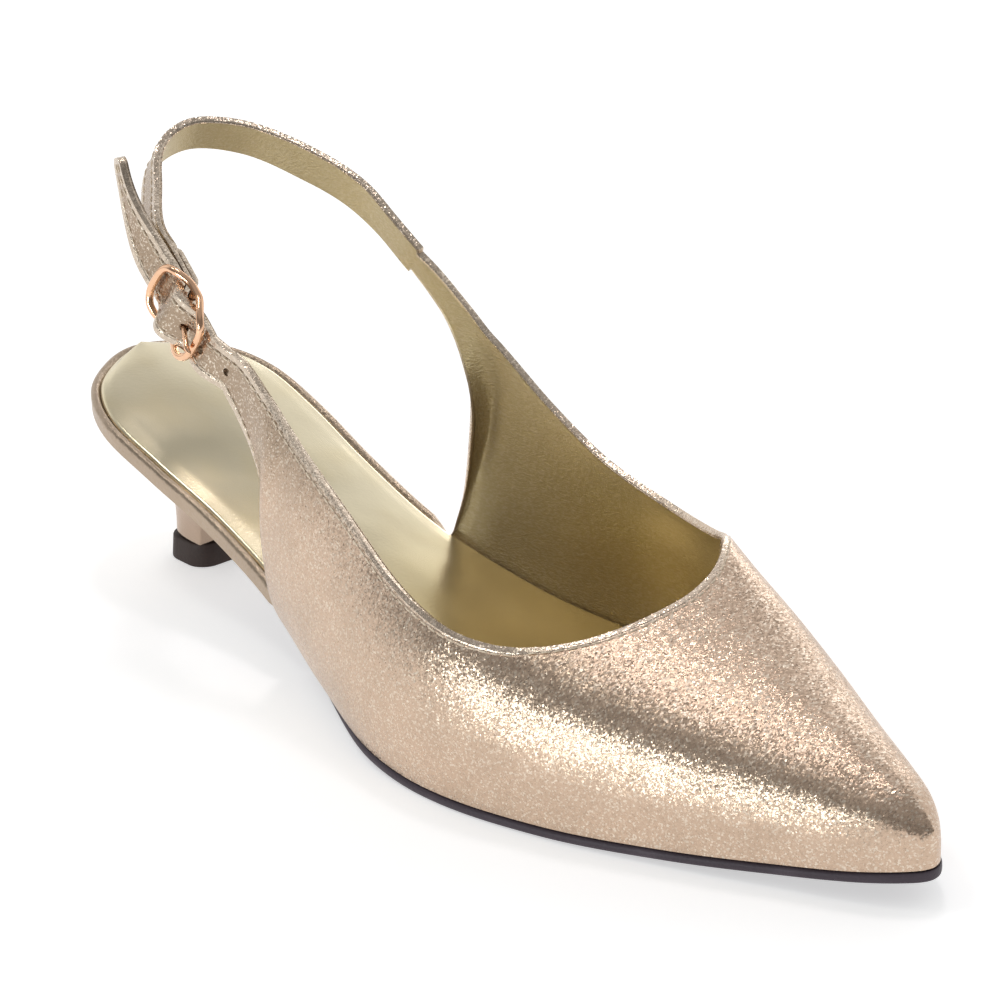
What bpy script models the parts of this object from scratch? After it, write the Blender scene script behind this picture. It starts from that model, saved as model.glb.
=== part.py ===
"""Slingback pump with a pointed toe and a kitten heel, right shoe, in metres, +Z up.

The toe points to -Y, the lateral side is at -X, and the shoe stands on z = 0. All shapes are worked out
in the last's own frame, where y runs from the toe tip (0) to the back of the seat (LENGTH), and one
empty moves the finished shoe over the origin.
"""

import math
from functools import lru_cache

import bmesh
import bpy
import numpy as np
from mathutils import Vector

MM = 0.001

# Sizes of the last
LENGTH = 250.0 * MM
BALL_WIDTH = 77.0 * MM
SEAT_HEIGHT = 37.4 * MM
SEAT_SLOPE = 0.19
TOE_SPRING = 5.0 * MM
TOE_SPRING_CURVE = 2.2
TREAD_FRONT = 0.344
TREAD_BACK = 0.392
INSTEP_HEIGHT = 38.0 * MM
WING_RISE = 22.6 * MM
WING_HEIGHT = SEAT_HEIGHT + WING_RISE

# Walls and clearances
WALL = 1.6 * MM
GAP = 0.3 * MM
OUTSOLE_FOREPART = 3.0 * MM
OUTSOLE_WAIST = 1.2 * MM
BOARD_FOREPART = 1.2 * MM
BOARD_WAIST = 4.2 * MM
SOLE_EDGE_FOREPART = 0.3 * MM
SOLE_EDGE_WAIST = -1.6 * MM
WAIST_START = 0.46
WAIST_END = 0.64

# Upper: heights of the side points, swell of the wings, corners of the throat
SIDE_HEIGHT_LATERAL = 0.40
SIDE_HEIGHT_MEDIAL = 0.45
WING_SWELL = 0.10
SWELL_RUN = 30.0 * MM
SWELL_LOW = 1.25
SWELL_HIGH = 0.75
THROAT_CORNER_LATERAL = 0.83
THROAT_CORNER_MEDIAL = 0.72
SEAM_FADE_ROWS = 10

# Heel
HEEL_BREAST = 0.815
HEEL_CENTRE = 0.8944
HEEL_DEPTH = 13.2 * MM
HEEL_FRONT = HEEL_CENTRE * LENGTH - HEEL_DEPTH / 2
HEEL_BACK = HEEL_CENTRE * LENGTH + HEEL_DEPTH / 2
HEEL_HALF_WIDTH = 8.4 * MM
NECK_SQUARENESS = 3.4
TOP_PIECE_HEIGHT = 5.6 * MM
TOP_PIECE_FLARE = 0.5 * MM
HEEL_CUP_INSET = 0.9 * MM

# Straps
STRAP_WIDTH = 9.4 * MM
STRAP_THICKNESS = 1.8 * MM
STRAP_EASE = 0.55
STRAP_LEAD = 2.0 * MM
SLING_HALF_WIDTH = 0.331 * BALL_WIDTH
SLING_SIDE_Y = 0.744 * LENGTH
SLING_DEPTH = 0.148 * LENGTH
SLING_SIDE_HEIGHT = 1.317 * WING_HEIGHT
SLING_RISE = 0.317 * WING_HEIGHT
TAB_LENGTH = 25.5 * MM
TAB_STAND_OFF = 3.4 * MM
TAB_RISE = 9.5 * MM
TAB_CURVE = 2.0
TAB_TWIST = math.radians(26.0)
TAB_TAPER = 0.58
TAPER_START = 0.60
TAPER_END = 0.97
TIP_START = 0.965
TIP_ROUND = 0.9
HOLE_PITCH = 7.8 * MM
HOLE_RADIUS = 0.9 * MM
HOLE_COUNT = 5
HOLE_CUT_REACH = 1.6 * STRAP_THICKNESS

# Buckle: its place from the middle of the lateral wing's end, its turns, and its wires
BUCKLE_FROM_WING = (0.0 * MM, 16.2 * MM, 9.3 * MM)
BUCKLE_SLOPE = math.radians(34.0)
BUCKLE_HEADING = math.radians(9.0)
BUCKLE_LEAN = math.radians(14.0)
RING_LENGTH = 20.5 * MM
RING_SQUARENESS = 3.0
RING_WIRE = 0.85 * MM
RING_CLEARANCE = 1.1 * MM
RING_WIDTH = STRAP_WIDTH + 4 * RING_WIRE + 2 * RING_CLEARANCE
RING_ARCH = 2.0 * MM
ARCH_START = 0.1
ARCH_END = 0.8
BAR_DROP = 1.0 * MM
BAR_WIRE = 0.7 * MM
PRONG_WIRE = 0.55 * MM
PRONG_REACH = 1.3 * MM
EYE_OPENING = math.radians(150.0)
FOLD_THICKNESS = 1.1 * MM
FOLD_LENGTH = 15.0 * MM
FOLD_END = 11.5 * MM
FOLD_LEADS = (20.0 * MM, 14.0 * MM)
WRAP_START = math.radians(50.0)
WRAP_END = math.radians(270.0)
BULGE_REACH = 0.66
FOLD_REACH = 0.52
RETURN_REACH = 0.6

# Places inside the buckle that follow from those sizes: along the strap from the bar, and out from it
ARC_S = RING_LENGTH / 2 - RING_WIRE
BAR_N = -BAR_DROP
ARC_N = BAR_N + RING_ARCH
EYE_RADIUS = BAR_WIRE + GAP + PRONG_WIRE
FOLD_RADIUS = BAR_WIRE + GAP + FOLD_THICKNESS / 2
STRAP_UNDER_ARC = ARC_N - RING_WIRE - 1.5 * GAP - STRAP_THICKNESS / 2
STRAP_OVER_BAR = BAR_N + EYE_RADIUS + PRONG_WIRE + 1.5 * GAP + STRAP_THICKNESS / 2
FOLD_UNDER_STRAP = STRAP_UNDER_ARC - STRAP_THICKNESS / 2 - 1.4 * GAP - FOLD_THICKNESS / 2

# Fineness of the meshes
MERGE_DISTANCE = 0.01 * MM
SHARP_ANGLE = math.radians(40.0)
SPLINE_STEPS = 160
SECTION_STEPS = 200
SOLE_COLUMNS = 6
SOLE_ROWS = 34
BOARD_ROWS = 42
RING_POINTS = 26
BREAST_POINTS = 6
WING_QUADS = 7
WING_STEPS = 2
THROAT_QUADS = 12
VAMP_ROWS = 15
RING_STEPS = 36
WIRE_SIDES = 10
PRONG_SIDES = 8
EYE_STEPS = 10
BULGE_STEPS = 12
BUCKLE_STRAP_STEPS = 45
SLING_STEPS = 39
LEG_STEPS = 6
WRAP_STEPS = 10
SLOT_STEPS = 16
TURN_STEPS = 4
LEAN_STEPS = 6

# Outline of the last at the feather line: share of LENGTH, lateral and medial shares of BALL_WIDTH
OUTLINE = (
    (0.000, 0.000, 0.000),
    (0.016, 0.070, 0.073),
    (0.048, 0.140, 0.131),
    (0.100, 0.221, 0.197),
    (0.180, 0.342, 0.300),
    (0.280, 0.468, 0.400),
    (0.380, 0.537, 0.459),
    (0.460, 0.529, 0.444),
    (0.560, 0.440, 0.350),
    (0.660, 0.348, 0.287),
    (0.760, 0.316, 0.286),
    (0.840, 0.323, 0.306),
    (0.912, 0.314, 0.302),
    (0.960, 0.243, 0.235),
    (0.988, 0.128, 0.125),
    (1.000, 0.000, 0.000),
)

# Vamp sections: share of LENGTH; ridge height as a share of INSTEP_HEIGHT and its place as a share of
# the medial half width; side, shoulder places as shares of the half widths and of the ridge height
VAMP_COLUMNS = ("y", "ridge_z", "ridge_x", "lat_side", "lat_x", "lat_z", "med_side", "med_x", "med_z")
VAMP = (
    (0.000, 0.180, 0.00, 1.00, 0.80, 0.80, 1.00, 0.80, 0.80),
    (0.020, 0.305, 0.02, 1.00, 0.78, 0.80, 1.00, 0.79, 0.82),
    (0.060, 0.440, 0.06, 1.00, 0.76, 0.80, 1.00, 0.77, 0.83),
    (0.130, 0.620, 0.14, 1.00, 0.76, 0.79, 1.00, 0.76, 0.86),
    (0.210, 0.800, 0.26, 1.00, 0.79, 0.78, 1.00, 0.74, 0.92),
    (0.290, 0.985, 0.36, 1.01, 0.82, 0.77, 1.01, 0.72, 0.95),
    (0.340, 1.130, 0.40, 1.01, 0.83, 0.76, 1.02, 0.72, 0.95),
)

# Throat edge: share of the way from the lateral to the medial corner, share of LENGTH
THROAT = (
    (0.00, 0.318),
    (0.12, 0.297),
    (0.30, 0.281),
    (0.50, 0.275),
    (0.70, 0.278),
    (0.88, 0.295),
    (1.00, 0.320),
)

# Wings: top edge and lower edge, each as a place along LENGTH, a height as a share of WING_HEIGHT and a
# half width as a share of BALL_WIDTH. A lower height of None lies on the feather line.
# Columns: top_y, top_z, top_x, low_y, low_z, low_x
TOP_Y, TOP_Z, TOP_X, LOW_Y, LOW_Z, LOW_X = range(6)
WING_LATERAL = (
    (0.318, 0.552, 0.407, 0.328, None, None),
    (0.352, 0.568, 0.445, 0.364, None, None),
    (0.388, 0.603, 0.469, 0.404, None, None),
    (0.422, 0.645, 0.473, 0.444, None, None),
    (0.456, 0.703, 0.468, 0.488, None, None),
    (0.492, 0.777, 0.454, 0.532, None, None),
    (0.532, 0.857, 0.436, 0.576, None, None),
    (0.572, 0.933, 0.418, 0.616, None, None),
    (0.596, 0.980, 0.404, 0.650, None, None),
    (0.612, 1.018, 0.396, 0.647, 0.380, 0.374),
    (0.626, 1.053, 0.390, 0.645, 0.545, 0.382),
    (0.641, 1.090, 0.386, 0.649, 0.715, 0.384),
    (0.655, 1.125, 0.382, 0.662, 0.843, 0.382),
    (0.668, 1.150, 0.377, 0.680, 0.938, 0.378),
    (0.682, 1.168, 0.374, 0.697, 1.012, 0.377),
)
WING_MEDIAL = (
    (0.320, 0.690, 0.288, 0.330, None, None),
    (0.346, 0.655, 0.333, 0.354, None, None),
    (0.384, 0.643, 0.372, 0.392, None, None),
    (0.424, 0.658, 0.394, 0.436, None, None),
    (0.462, 0.692, 0.398, 0.480, None, None),
    (0.496, 0.737, 0.396, 0.524, None, None),
    (0.528, 0.802, 0.390, 0.568, None, None),
    (0.560, 0.883, 0.380, 0.612, None, None),
    (0.588, 0.968, 0.369, 0.662, None, None),
    (0.606, 1.022, 0.362, 0.657, 0.400, 0.325),
    (0.622, 1.067, 0.355, 0.652, 0.583, 0.338),
    (0.636, 1.115, 0.350, 0.648, 0.767, 0.343),
    (0.650, 1.162, 0.344, 0.651, 0.927, 0.345),
    (0.666, 1.213, 0.338, 0.667, 1.060, 0.344),
    (0.681, 1.262, 0.329, 0.690, 1.148, 0.344),
    (0.694, 1.300, 0.320, 0.712, 1.217, 0.342),
)

# Sling strap's centre line round the heel: half-width share of SLING_HALF_WIDTH, y share of SLING_DEPTH
# past SLING_SIDE_Y, height share of SLING_RISE over SLING_SIDE_HEIGHT, lean of its outer face
SLING = (
    (0.900, 0.180, 0.390, 0.42),
    (0.720, 0.520, 0.695, 0.46),
    (0.420, 0.840, 0.950, 0.52),
    (0.030, 1.000, 1.040, 0.60),
    (-0.360, 0.950, 0.930, 0.58),
    (-0.660, 0.740, 0.600, 0.44),
)

# Heel sections below the cup: height share between the top piece and the seat, how far the back, the
# breast and the sides have gone from the neck's outline to the seat's
HEEL_SECTIONS = (
    (0.00, 0.000, 0.00, 0.000),
    (0.14, 0.010, 0.03, -0.015),
    (0.30, 0.030, 0.10, 0.000),
    (0.44, 0.110, 0.20, 0.060),
    (0.58, 0.290, 0.34, 0.200),
    (0.71, 0.530, 0.50, 0.410),
    (0.83, 0.760, 0.68, 0.650),
    (0.92, 0.900, 0.84, 0.850),
    (1.00, 1.000, 1.00, 1.000),
)


# Curves and tables

def column(table, index):
    """One column of a table as an array."""
    return np.array([row[index] for row in table], dtype=float)


def curve(xs, ys, x):
    """Smooth curve through (xs, ys), read at x."""
    xs, ys = np.asarray(xs, dtype=float), np.asarray(ys, dtype=float)
    m = np.gradient(ys, xs)
    i = np.clip(np.searchsorted(xs, x, side="right") - 1, 0, len(xs) - 2)
    h = xs[i + 1] - xs[i]
    t = np.clip((x - xs[i]) / h, 0.0, 1.0)
    a = (1 + 2 * t) * (1 - t) ** 2
    b = t * (1 - t) ** 2 * h
    c = t * t * (3 - 2 * t)
    d = t * t * (t - 1) * h
    return a * ys[i] + b * m[i] + c * ys[i + 1] + d * m[i + 1]


def smooth_step(start, end, x):
    """0 before start, 1 after end, smooth between."""
    t = min(max((x - start) / (end - start), 0.0), 1.0)
    return t * t * (3 - 2 * t)


def mix(a, b, t):
    """Value t of the way from a to b."""
    return a + (b - a) * t


def signed_power(value, power):
    """Power of a number's size, with its sign kept."""
    return math.copysign(abs(value) ** power, value)


def spline_points(points, count):
    """Points of a smooth curve through the given ones: count evenly spaced, or at shares of its length."""
    points = np.array([tuple(p) for p in points], dtype=float)
    steps = np.linalg.norm(np.diff(points, axis=0), axis=1)
    along = np.concatenate(([0.0], np.cumsum(np.sqrt(np.maximum(steps, 1e-9)))))
    fine = np.linspace(0.0, along[-1], SPLINE_STEPS)
    dense = np.stack([curve(along, points[:, k], fine) for k in range(points.shape[1])], axis=1)
    length = np.concatenate(([0.0], np.cumsum(np.linalg.norm(np.diff(dense, axis=0), axis=1))))
    wanted = np.asarray(count) if np.ndim(count) else np.linspace(0.0, 1.0, count)
    wanted = wanted * length[-1]
    return np.stack([np.interp(wanted, length, dense[:, k]) for k in range(dense.shape[1])], axis=1)


# The last's outline and profile

def round_share(share):
    """Angle share that gives an outline a round toe and a round seat."""
    return math.acos(1 - 2 * min(max(share, 0.0), 1.0)) / math.pi


@lru_cache(maxsize=None)
def outline_angles():
    """Angle share of each row of OUTLINE."""
    return np.array([round_share(row[0]) for row in OUTLINE])


def half_width(y, side):
    """Half width of the last at y; side is -1 for lateral and 1 for medial."""
    shares = column(OUTLINE, 1 if side < 0 else 2)
    return float(max(curve(outline_angles(), shares, round_share(y / LENGTH)), 0.0)) * BALL_WIDTH


def sole_bottom(y):
    """Height of the sole's underside: toe spring, flat tread, then the arch up to the seat."""
    front, back = TREAD_FRONT * LENGTH, TREAD_BACK * LENGTH
    if y < front:
        return TOE_SPRING * ((front - y) / front) ** TOE_SPRING_CURVE
    if y < back:
        return 0.0
    run = LENGTH - back
    u = (y - back) / run
    return (3 * u * u - 2 * u ** 3) * SEAT_HEIGHT + (u ** 3 - u * u) * SEAT_SLOPE * run


def waist(y):
    """0 in the forepart and 1 in the waist and seat."""
    return smooth_step(WAIST_START * LENGTH, WAIST_END * LENGTH, y)


def sole_top(y):
    """Height of the outsole's upper face."""
    return sole_bottom(y) + mix(OUTSOLE_FOREPART, OUTSOLE_WAIST, waist(y))


def feather(y):
    """Height of the upper's and the board's lower face, just over the outsole."""
    return sole_top(y) + GAP


def board_top(y):
    """Height of the insole board's upper face."""
    return feather(y) + mix(BOARD_FOREPART, BOARD_WAIST, waist(y))


def row_stations(start, end, count, extra=()):
    """Stations along the last, closer together at a round toe or seat."""
    first, last = round_share(start / LENGTH), round_share(end / LENGTH)
    angles = [mix(first, last, k / count) for k in range(count + 1)]
    ys = [LENGTH * (1 - math.cos(math.pi * a)) / 2 for a in angles]
    return sorted(y for y in set(ys) | set(extra))


def offset_side(ys, side, distance):
    """Plan points of one side of the outline, moved out by distance(y) along its normal."""
    xs = np.array([side * half_width(y, side) for y in ys])
    angle = np.array([round_share(y / LENGTH) for y in ys])
    dx, dy = np.gradient(xs, angle), np.gradient(np.array(ys), angle)
    size = np.maximum(np.hypot(dx, dy), 1e-12)
    nx, ny = side * dy / size, -side * dx / size
    move = np.array([distance(y) for y in ys])
    points = np.stack([xs + nx * move, np.array(ys) + ny * move], axis=1)
    if ys[0] <= 0.0:
        points[0] = (0.0, -move[0])
    if ys[-1] >= LENGTH:
        points[-1] = (0.0, LENGTH + move[-1])
    return points


# Mesh helpers

def new_object(name, verts, faces, material, parent):
    """Object from points and faces, with its doubles merged and its faces pointing out."""
    mesh = bpy.data.meshes.new(name)
    mesh.from_pydata([tuple(v) for v in verts], [], faces)
    bm = bmesh.new()
    bm.from_mesh(mesh)
    bmesh.ops.remove_doubles(bm, verts=bm.verts, dist=MERGE_DISTANCE)
    bmesh.ops.recalc_face_normals(bm, faces=bm.faces)
    bm.to_mesh(mesh)
    bm.free()
    mesh.shade_smooth()
    mesh.set_sharp_from_angle(angle=SHARP_ANGLE)
    obj = bpy.data.objects.new(name, mesh)
    bpy.context.scene.collection.objects.link(obj)
    obj.data.materials.append(material)
    obj.parent = parent
    return obj


def finish(name, color, roughness, metallic):
    """Principled BSDF material of one colour."""
    material = bpy.data.materials.new(name)
    material.use_nodes = True
    shader = material.node_tree.nodes["Principled BSDF"]
    shader.inputs["Base Color"].default_value = (*color, 1.0)
    shader.inputs["Roughness"].default_value = roughness
    shader.inputs["Metallic"].default_value = metallic
    return material


def grid_faces(rows, columns, start=0):
    """Quads of a grid of points stored row by row."""
    faces = []
    for r in range(rows - 1):
        for c in range(columns - 1):
            a = start + r * columns + c
            faces.append((a, a + 1, a + columns + 1, a + columns))
    return faces


def slab(name, left, right, bottom, top, material, parent):
    """Closed slab between two plan outlines, with its two faces at bottom(y) and top(y)."""
    rows, columns = len(left), SOLE_COLUMNS + 1
    verts, faces = [], []
    for level in (bottom, top):
        for (lx, ly), (rx, ry) in zip(left, right):
            for c in range(columns):
                t = c / SOLE_COLUMNS
                x, y = mix(lx, rx, t), mix(ly, ry, t)
                verts.append((x, y, level(y)))
    upper = rows * columns
    faces += grid_faces(rows, columns)
    faces += [tuple(reversed(f)) for f in grid_faces(rows, columns, upper)]
    rim = [r * columns for r in range(rows)]
    rim += [(rows - 1) * columns + c for c in range(1, columns)]
    rim += [r * columns + columns - 1 for r in range(rows - 2, -1, -1)]
    rim += [c for c in range(columns - 2, 0, -1)]
    for a, b in zip(rim, rim[1:] + rim[:1]):
        faces.append((a, b, b + upper, a + upper))
    return new_object(name, verts, faces, material, parent)


def tube(name, rings, material, parent, closed=False):
    """Closed body lofted through rings of equally many points, capped unless it closes on itself."""
    count = len(rings[0])
    verts = [p for ring in rings for p in ring]
    pairs = list(zip(range(len(rings) - 1), range(1, len(rings))))
    if closed:
        pairs.append((len(rings) - 1, 0))
    faces = []
    for r, s in pairs:
        for c in range(count):
            d = (c + 1) % count
            faces.append((r * count + c, r * count + d, s * count + d, s * count + c))
    if not closed:
        faces.append(tuple(range(count)))
        faces.append(tuple(range((len(rings) - 1) * count, len(rings) * count)))
    return new_object(name, verts, faces, material, parent)


def wire_rings(path, radius, sides, closed=False):
    """Rings of a round wire along a path of Vectors."""
    rings = []
    count = len(path)
    normal = Vector((0.0, 0.0, 1.0))
    for i, point in enumerate(path):
        before = path[i - 1] if i > 0 or closed else path[i]
        after = path[(i + 1) % count] if i < count - 1 or closed else path[i]
        tangent = (after - before).normalized()
        normal = (normal - tangent * normal.dot(tangent)).normalized()
        other = tangent.cross(normal)
        ring = []
        for k in range(sides):
            a = math.tau * k / sides
            ring.append(point + (normal * math.cos(a) + other * math.sin(a)) * radius)
        rings.append(ring)
    return rings


def strap_rings(sections):
    """Rings of a flat strap with eased edges, one for each (centre, across, outward, width, thickness)."""
    rings = []
    for centre, across, outward, width, thickness in sections:
        w, t = width / 2, thickness / 2
        ease = min(t, w) * STRAP_EASE
        corners = ((w - ease, t), (w, t - ease), (w, ease - t), (w - ease, -t),
                   (ease - w, -t), (-w, ease - t), (-w, t - ease), (ease - w, t))
        rings.append([centre + across * a + outward * b for a, b in corners])
    return rings


# Soles

def build_outsole(material, parent):
    """Outsole from the toe to the heel's breast, flat on the floor under the ball."""
    tread = (TREAD_FRONT * LENGTH, TREAD_BACK * LENGTH)
    ys = row_stations(0.0, HEEL_BREAST * LENGTH - GAP, SOLE_ROWS, tread)

    def edge(y):
        return mix(SOLE_EDGE_FOREPART, SOLE_EDGE_WAIST, waist(y))

    left, right = offset_side(ys, -1, edge), offset_side(ys, 1, edge)
    left[-1][1] = right[-1][1] = ys[-1]
    return slab("outsole", left, right, sole_bottom, sole_top, material, parent)


def foot_end(table):
    """Where the lower edge of a wing leaves the sole."""
    return max(row[LOW_Y] for row in table if row[LOW_Z] is None) * LENGTH


def board_inset(side):
    """How far the insole board lies inside the outline: the wall's thickness where the upper stands."""
    last = foot_end(WING_LATERAL if side < 0 else WING_MEDIAL)

    def inset(y):
        return -(WALL + GAP) * (1 - smooth_step(last + GAP, last + GAP + WALL, y))

    return inset


def build_insole(material, parent):
    """Wrapped insole board: inside the upper in front, and out to the edge at the open shank and seat."""
    edges = []
    for table in (WING_LATERAL, WING_MEDIAL):
        last = foot_end(table)
        edges += [last + GAP, last + GAP + WALL]
    ys = row_stations(0.0, LENGTH, BOARD_ROWS, edges)
    left = offset_side(ys, -1, board_inset(-1))
    right = offset_side(ys, 1, board_inset(1))
    return slab("insole", left, right, feather, board_top, material, parent)


# Heel

def seat_ring():
    """Plan outline of the heel's top: round the seat, then back along the breast."""
    breast = HEEL_BREAST * LENGTH
    count = (RING_POINTS - BREAST_POINTS) // 2
    first = round_share(breast / LENGTH)
    ys = [LENGTH * (1 - math.cos(math.pi * mix(first, 1.0, k / count))) / 2 for k in range(count + 1)]
    left = offset_side(ys, -1, lambda y: -HEEL_CUP_INSET)
    right = offset_side(ys, 1, lambda y: -HEEL_CUP_INSET)
    left[0][1] = right[0][1] = breast
    ring = [tuple(p) for p in left] + [tuple(p) for p in right[::-1][1:]]
    for k in range(1, BREAST_POINTS):
        t = k / BREAST_POINTS
        ring.append((mix(right[0][0], left[0][0], t), breast))
    return ring


def neck_ring(grow):
    """Plan outline of the heel's neck, point for point with seat_ring."""
    count = (RING_POINTS - BREAST_POINTS) // 2
    ring = []
    for k in range(2 * count + 1):
        a = math.pi * k / (2 * count)
        x = -math.copysign(abs(math.cos(a)) ** (2 / NECK_SQUARENESS), math.cos(a)) * (HEEL_HALF_WIDTH + grow)
        y = HEEL_FRONT - grow + (HEEL_BACK - HEEL_FRONT + 2 * grow) * math.sin(a) ** (2 / NECK_SQUARENESS)
        ring.append((x, y))
    for k in range(1, BREAST_POINTS):
        t = k / BREAST_POINTS
        ring.append((mix(1.0, -1.0, t) * (HEEL_HALF_WIDTH + grow), HEEL_FRONT - grow))
    return ring


def build_heel(material, parent):
    """Covered heel: the cup under the seat, swept in to a slim neck set well forward."""
    seat, neck = seat_ring(), neck_ring(0.0)
    floor = TOP_PIECE_HEIGHT + GAP
    rings = []
    for height, back, front, side in HEEL_SECTIONS:
        ring = []
        for (sx, sy), (nx, ny) in zip(seat, neck):
            depth = (ny - HEEL_FRONT) / (HEEL_BACK - HEEL_FRONT)
            y = mix(ny, sy, mix(front, back, depth))
            ring.append((mix(nx, sx, side), y, mix(floor, sole_top(sy), height)))
        rings.append(ring)
    return tube("heel", rings, material, parent)


def build_top_piece(material, parent):
    """Hard top piece under the heel, a little wider at the floor."""
    levels = ((0.0, TOP_PIECE_FLARE), (TOP_PIECE_HEIGHT, 0.0))
    rings = [[(x, y, z) for x, y in neck_ring(grow)] for z, grow in levels]
    return tube("heel_tip", rings, material, parent)


# Upper

def vamp_value(name, y):
    """Value of one VAMP column at y."""
    index = VAMP_COLUMNS.index(name)
    return float(curve(column(VAMP, 0), column(VAMP, index), y / LENGTH))


def vamp_section(y, shares):
    """Points of the vamp's section at y, from the lateral to the medial feather, at shares of its length."""
    low = feather(y)
    ridge = max(vamp_value("ridge_z", y) * INSTEP_HEIGHT, 0.0)
    lateral, medial = half_width(y, -1), half_width(y, 1)
    points = [
        (-lateral, low),
        (-lateral * vamp_value("lat_side", y), low + SIDE_HEIGHT_LATERAL * ridge),
        (-lateral * vamp_value("lat_x", y), low + vamp_value("lat_z", y) * ridge),
        (medial * vamp_value("ridge_x", y), low + ridge),
        (medial * vamp_value("med_x", y), low + vamp_value("med_z", y) * ridge),
        (medial * vamp_value("med_side", y), low + SIDE_HEIGHT_MEDIAL * ridge),
        (medial, low),
    ]
    return spline_points(points, shares)


def corner_share(y, x):
    """Share of the section's length at which it passes x, between its two shoulders."""
    shares = np.linspace(0.0, 1.0, SECTION_STEPS + 1)
    section = vamp_section(y, shares)
    inner = slice(SECTION_STEPS // 10, SECTION_STEPS - SECTION_STEPS // 10)
    return float(np.interp(x, section[inner, 0], shares[inner]))


def tip_row(count):
    """Upright line of points at the toe tip, the same up from both sides."""
    low = feather(0.0)
    ridge = VAMP[0][1] * INSTEP_HEIGHT
    middle = (count - 1) / 2
    return [(0.0, 0.0, low + ridge * min(k, count - 1 - k) / middle) for k in range(count)]


def vamp_grid():
    """Rows of points of the vamp from the toe to the throat, lateral to medial."""
    y_lat, y_med = THROAT[0][1] * LENGTH, THROAT[-1][1] * LENGTH
    first = corner_share(y_lat, -THROAT_CORNER_LATERAL * half_width(y_lat, -1))
    last = corner_share(y_med, THROAT_CORNER_MEDIAL * half_width(y_med, 1))
    shares = list(np.linspace(0.0, first, WING_QUADS + 1))
    shares += list(np.linspace(first, last, THROAT_QUADS + 1))[1:]
    shares += list(np.linspace(last, 1.0, WING_QUADS + 1))[1:]
    ends = []
    for share in shares:
        if share < first:
            ends.append(mix(WING_LATERAL[0][LOW_Y], WING_LATERAL[0][TOP_Y], share / first) * LENGTH)
        elif share > last:
            t = (share - last) / (1 - last)
            ends.append(mix(WING_MEDIAL[0][TOP_Y], WING_MEDIAL[0][LOW_Y], t) * LENGTH)
        else:
            t = (share - first) / (last - first)
            ends.append(float(curve(column(THROAT, 0), column(THROAT, 1), t)) * LENGTH)
    middle = THROAT[len(THROAT) // 2][1] * LENGTH
    rows = [tip_row(len(shares))]
    for base in row_stations(0.0, middle, VAMP_ROWS)[1:]:
        pull = (base / middle) ** 2
        row = []
        for share, end in zip(shares, ends):
            y = base + pull * (end - middle)
            x, z = vamp_section(y, [share])[0]
            row.append((x, y, z))
        rows.append(row)
    return rows


def wing_rows(table, side, seam):
    """Rows of one wing from its seam with the vamp to its strap end, each from low to top edge."""
    rows = []
    along = np.arange(len(table), dtype=float)
    steps = np.linspace(0.0, len(table) - 1.0, (len(table) - 1) * WING_STEPS + 1)
    top = np.stack([curve(along, column(table, k), steps) for k in (TOP_Y, TOP_Z, TOP_X)], axis=1)
    low = []
    for top_y, top_z, top_x, y, z, x in table:
        if z is None:
            low.append((y * LENGTH, feather(y * LENGTH), half_width(y * LENGTH, side)))
        else:
            low.append((y * LENGTH, z * WING_HEIGHT, x * BALL_WIDTH))
    foot = sum(1 for row in table if row[LOW_Z] is None) - 1
    low = np.array(low)
    on_sole = [i for i in range(len(table)) if i <= foot]
    free = [i for i in range(len(table)) if i >= foot]
    for step, (ty, tz, tx) in zip(steps, top):
        part = on_sole if step <= foot else free
        index = np.array(part, dtype=float)
        y, z, x = (float(curve(index, low[part, k], step)) for k in range(3))
        if step <= foot:
            z, x = feather(y), half_width(y, side)
        upper = np.array((side * tx * BALL_WIDTH, ty * LENGTH, tz * WING_HEIGHT))
        lower = np.array((side * x, y, z))
        height = float(np.linalg.norm(upper - lower))
        swell = WING_SWELL * height * smooth_step(0.0, SWELL_RUN, height - STRAP_WIDTH)
        row = []
        for k in range(WING_QUADS + 1):
            t = k / WING_QUADS
            point = mix(lower, upper, t)
            point[0] += side * swell * 4 * t * (1 - t) * mix(SWELL_LOW, SWELL_HIGH, t)
            row.append(point)
        rows.append(row)
    shift = [np.array(a) - np.array(b) for a, b in zip(seam, rows[0])]
    for r, row in enumerate(rows):
        fade = 1 - smooth_step(0.0, SEAM_FADE_ROWS, r)
        rows[r] = [tuple(p + s * fade) for p, s in zip(row, shift)]
    return rows


def build_upper(material, parent):
    """Vamp and both wings as one shell, open at the throat, the sides' rear and underneath."""
    vamp = vamp_grid()
    columns = len(vamp[0])
    verts = [p for row in vamp for p in row]
    faces = grid_faces(len(vamp), columns)
    last = (len(vamp) - 1) * columns
    for table, side in ((WING_LATERAL, -1), (WING_MEDIAL, 1)):
        if side < 0:
            seam = [last + k for k in range(WING_QUADS + 1)]
        else:
            seam = [last + columns - 1 - k for k in range(WING_QUADS + 1)]
        rows = wing_rows(table, side, [verts[i] for i in seam])
        previous = seam
        for row in rows[1:]:
            current = list(range(len(verts), len(verts) + len(row)))
            verts += row
            for k in range(WING_QUADS):
                faces.append((previous[k], previous[k + 1], current[k + 1], current[k]))
            previous = current
    shell = new_object("upper", verts, faces, material, parent)
    point_outwards(shell)
    wall = shell.modifiers.new("wall", "SOLIDIFY")
    wall.thickness = WALL
    wall.offset = -1.0
    wall.use_even_offset = True
    wall.use_rim = True
    return shell


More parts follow.
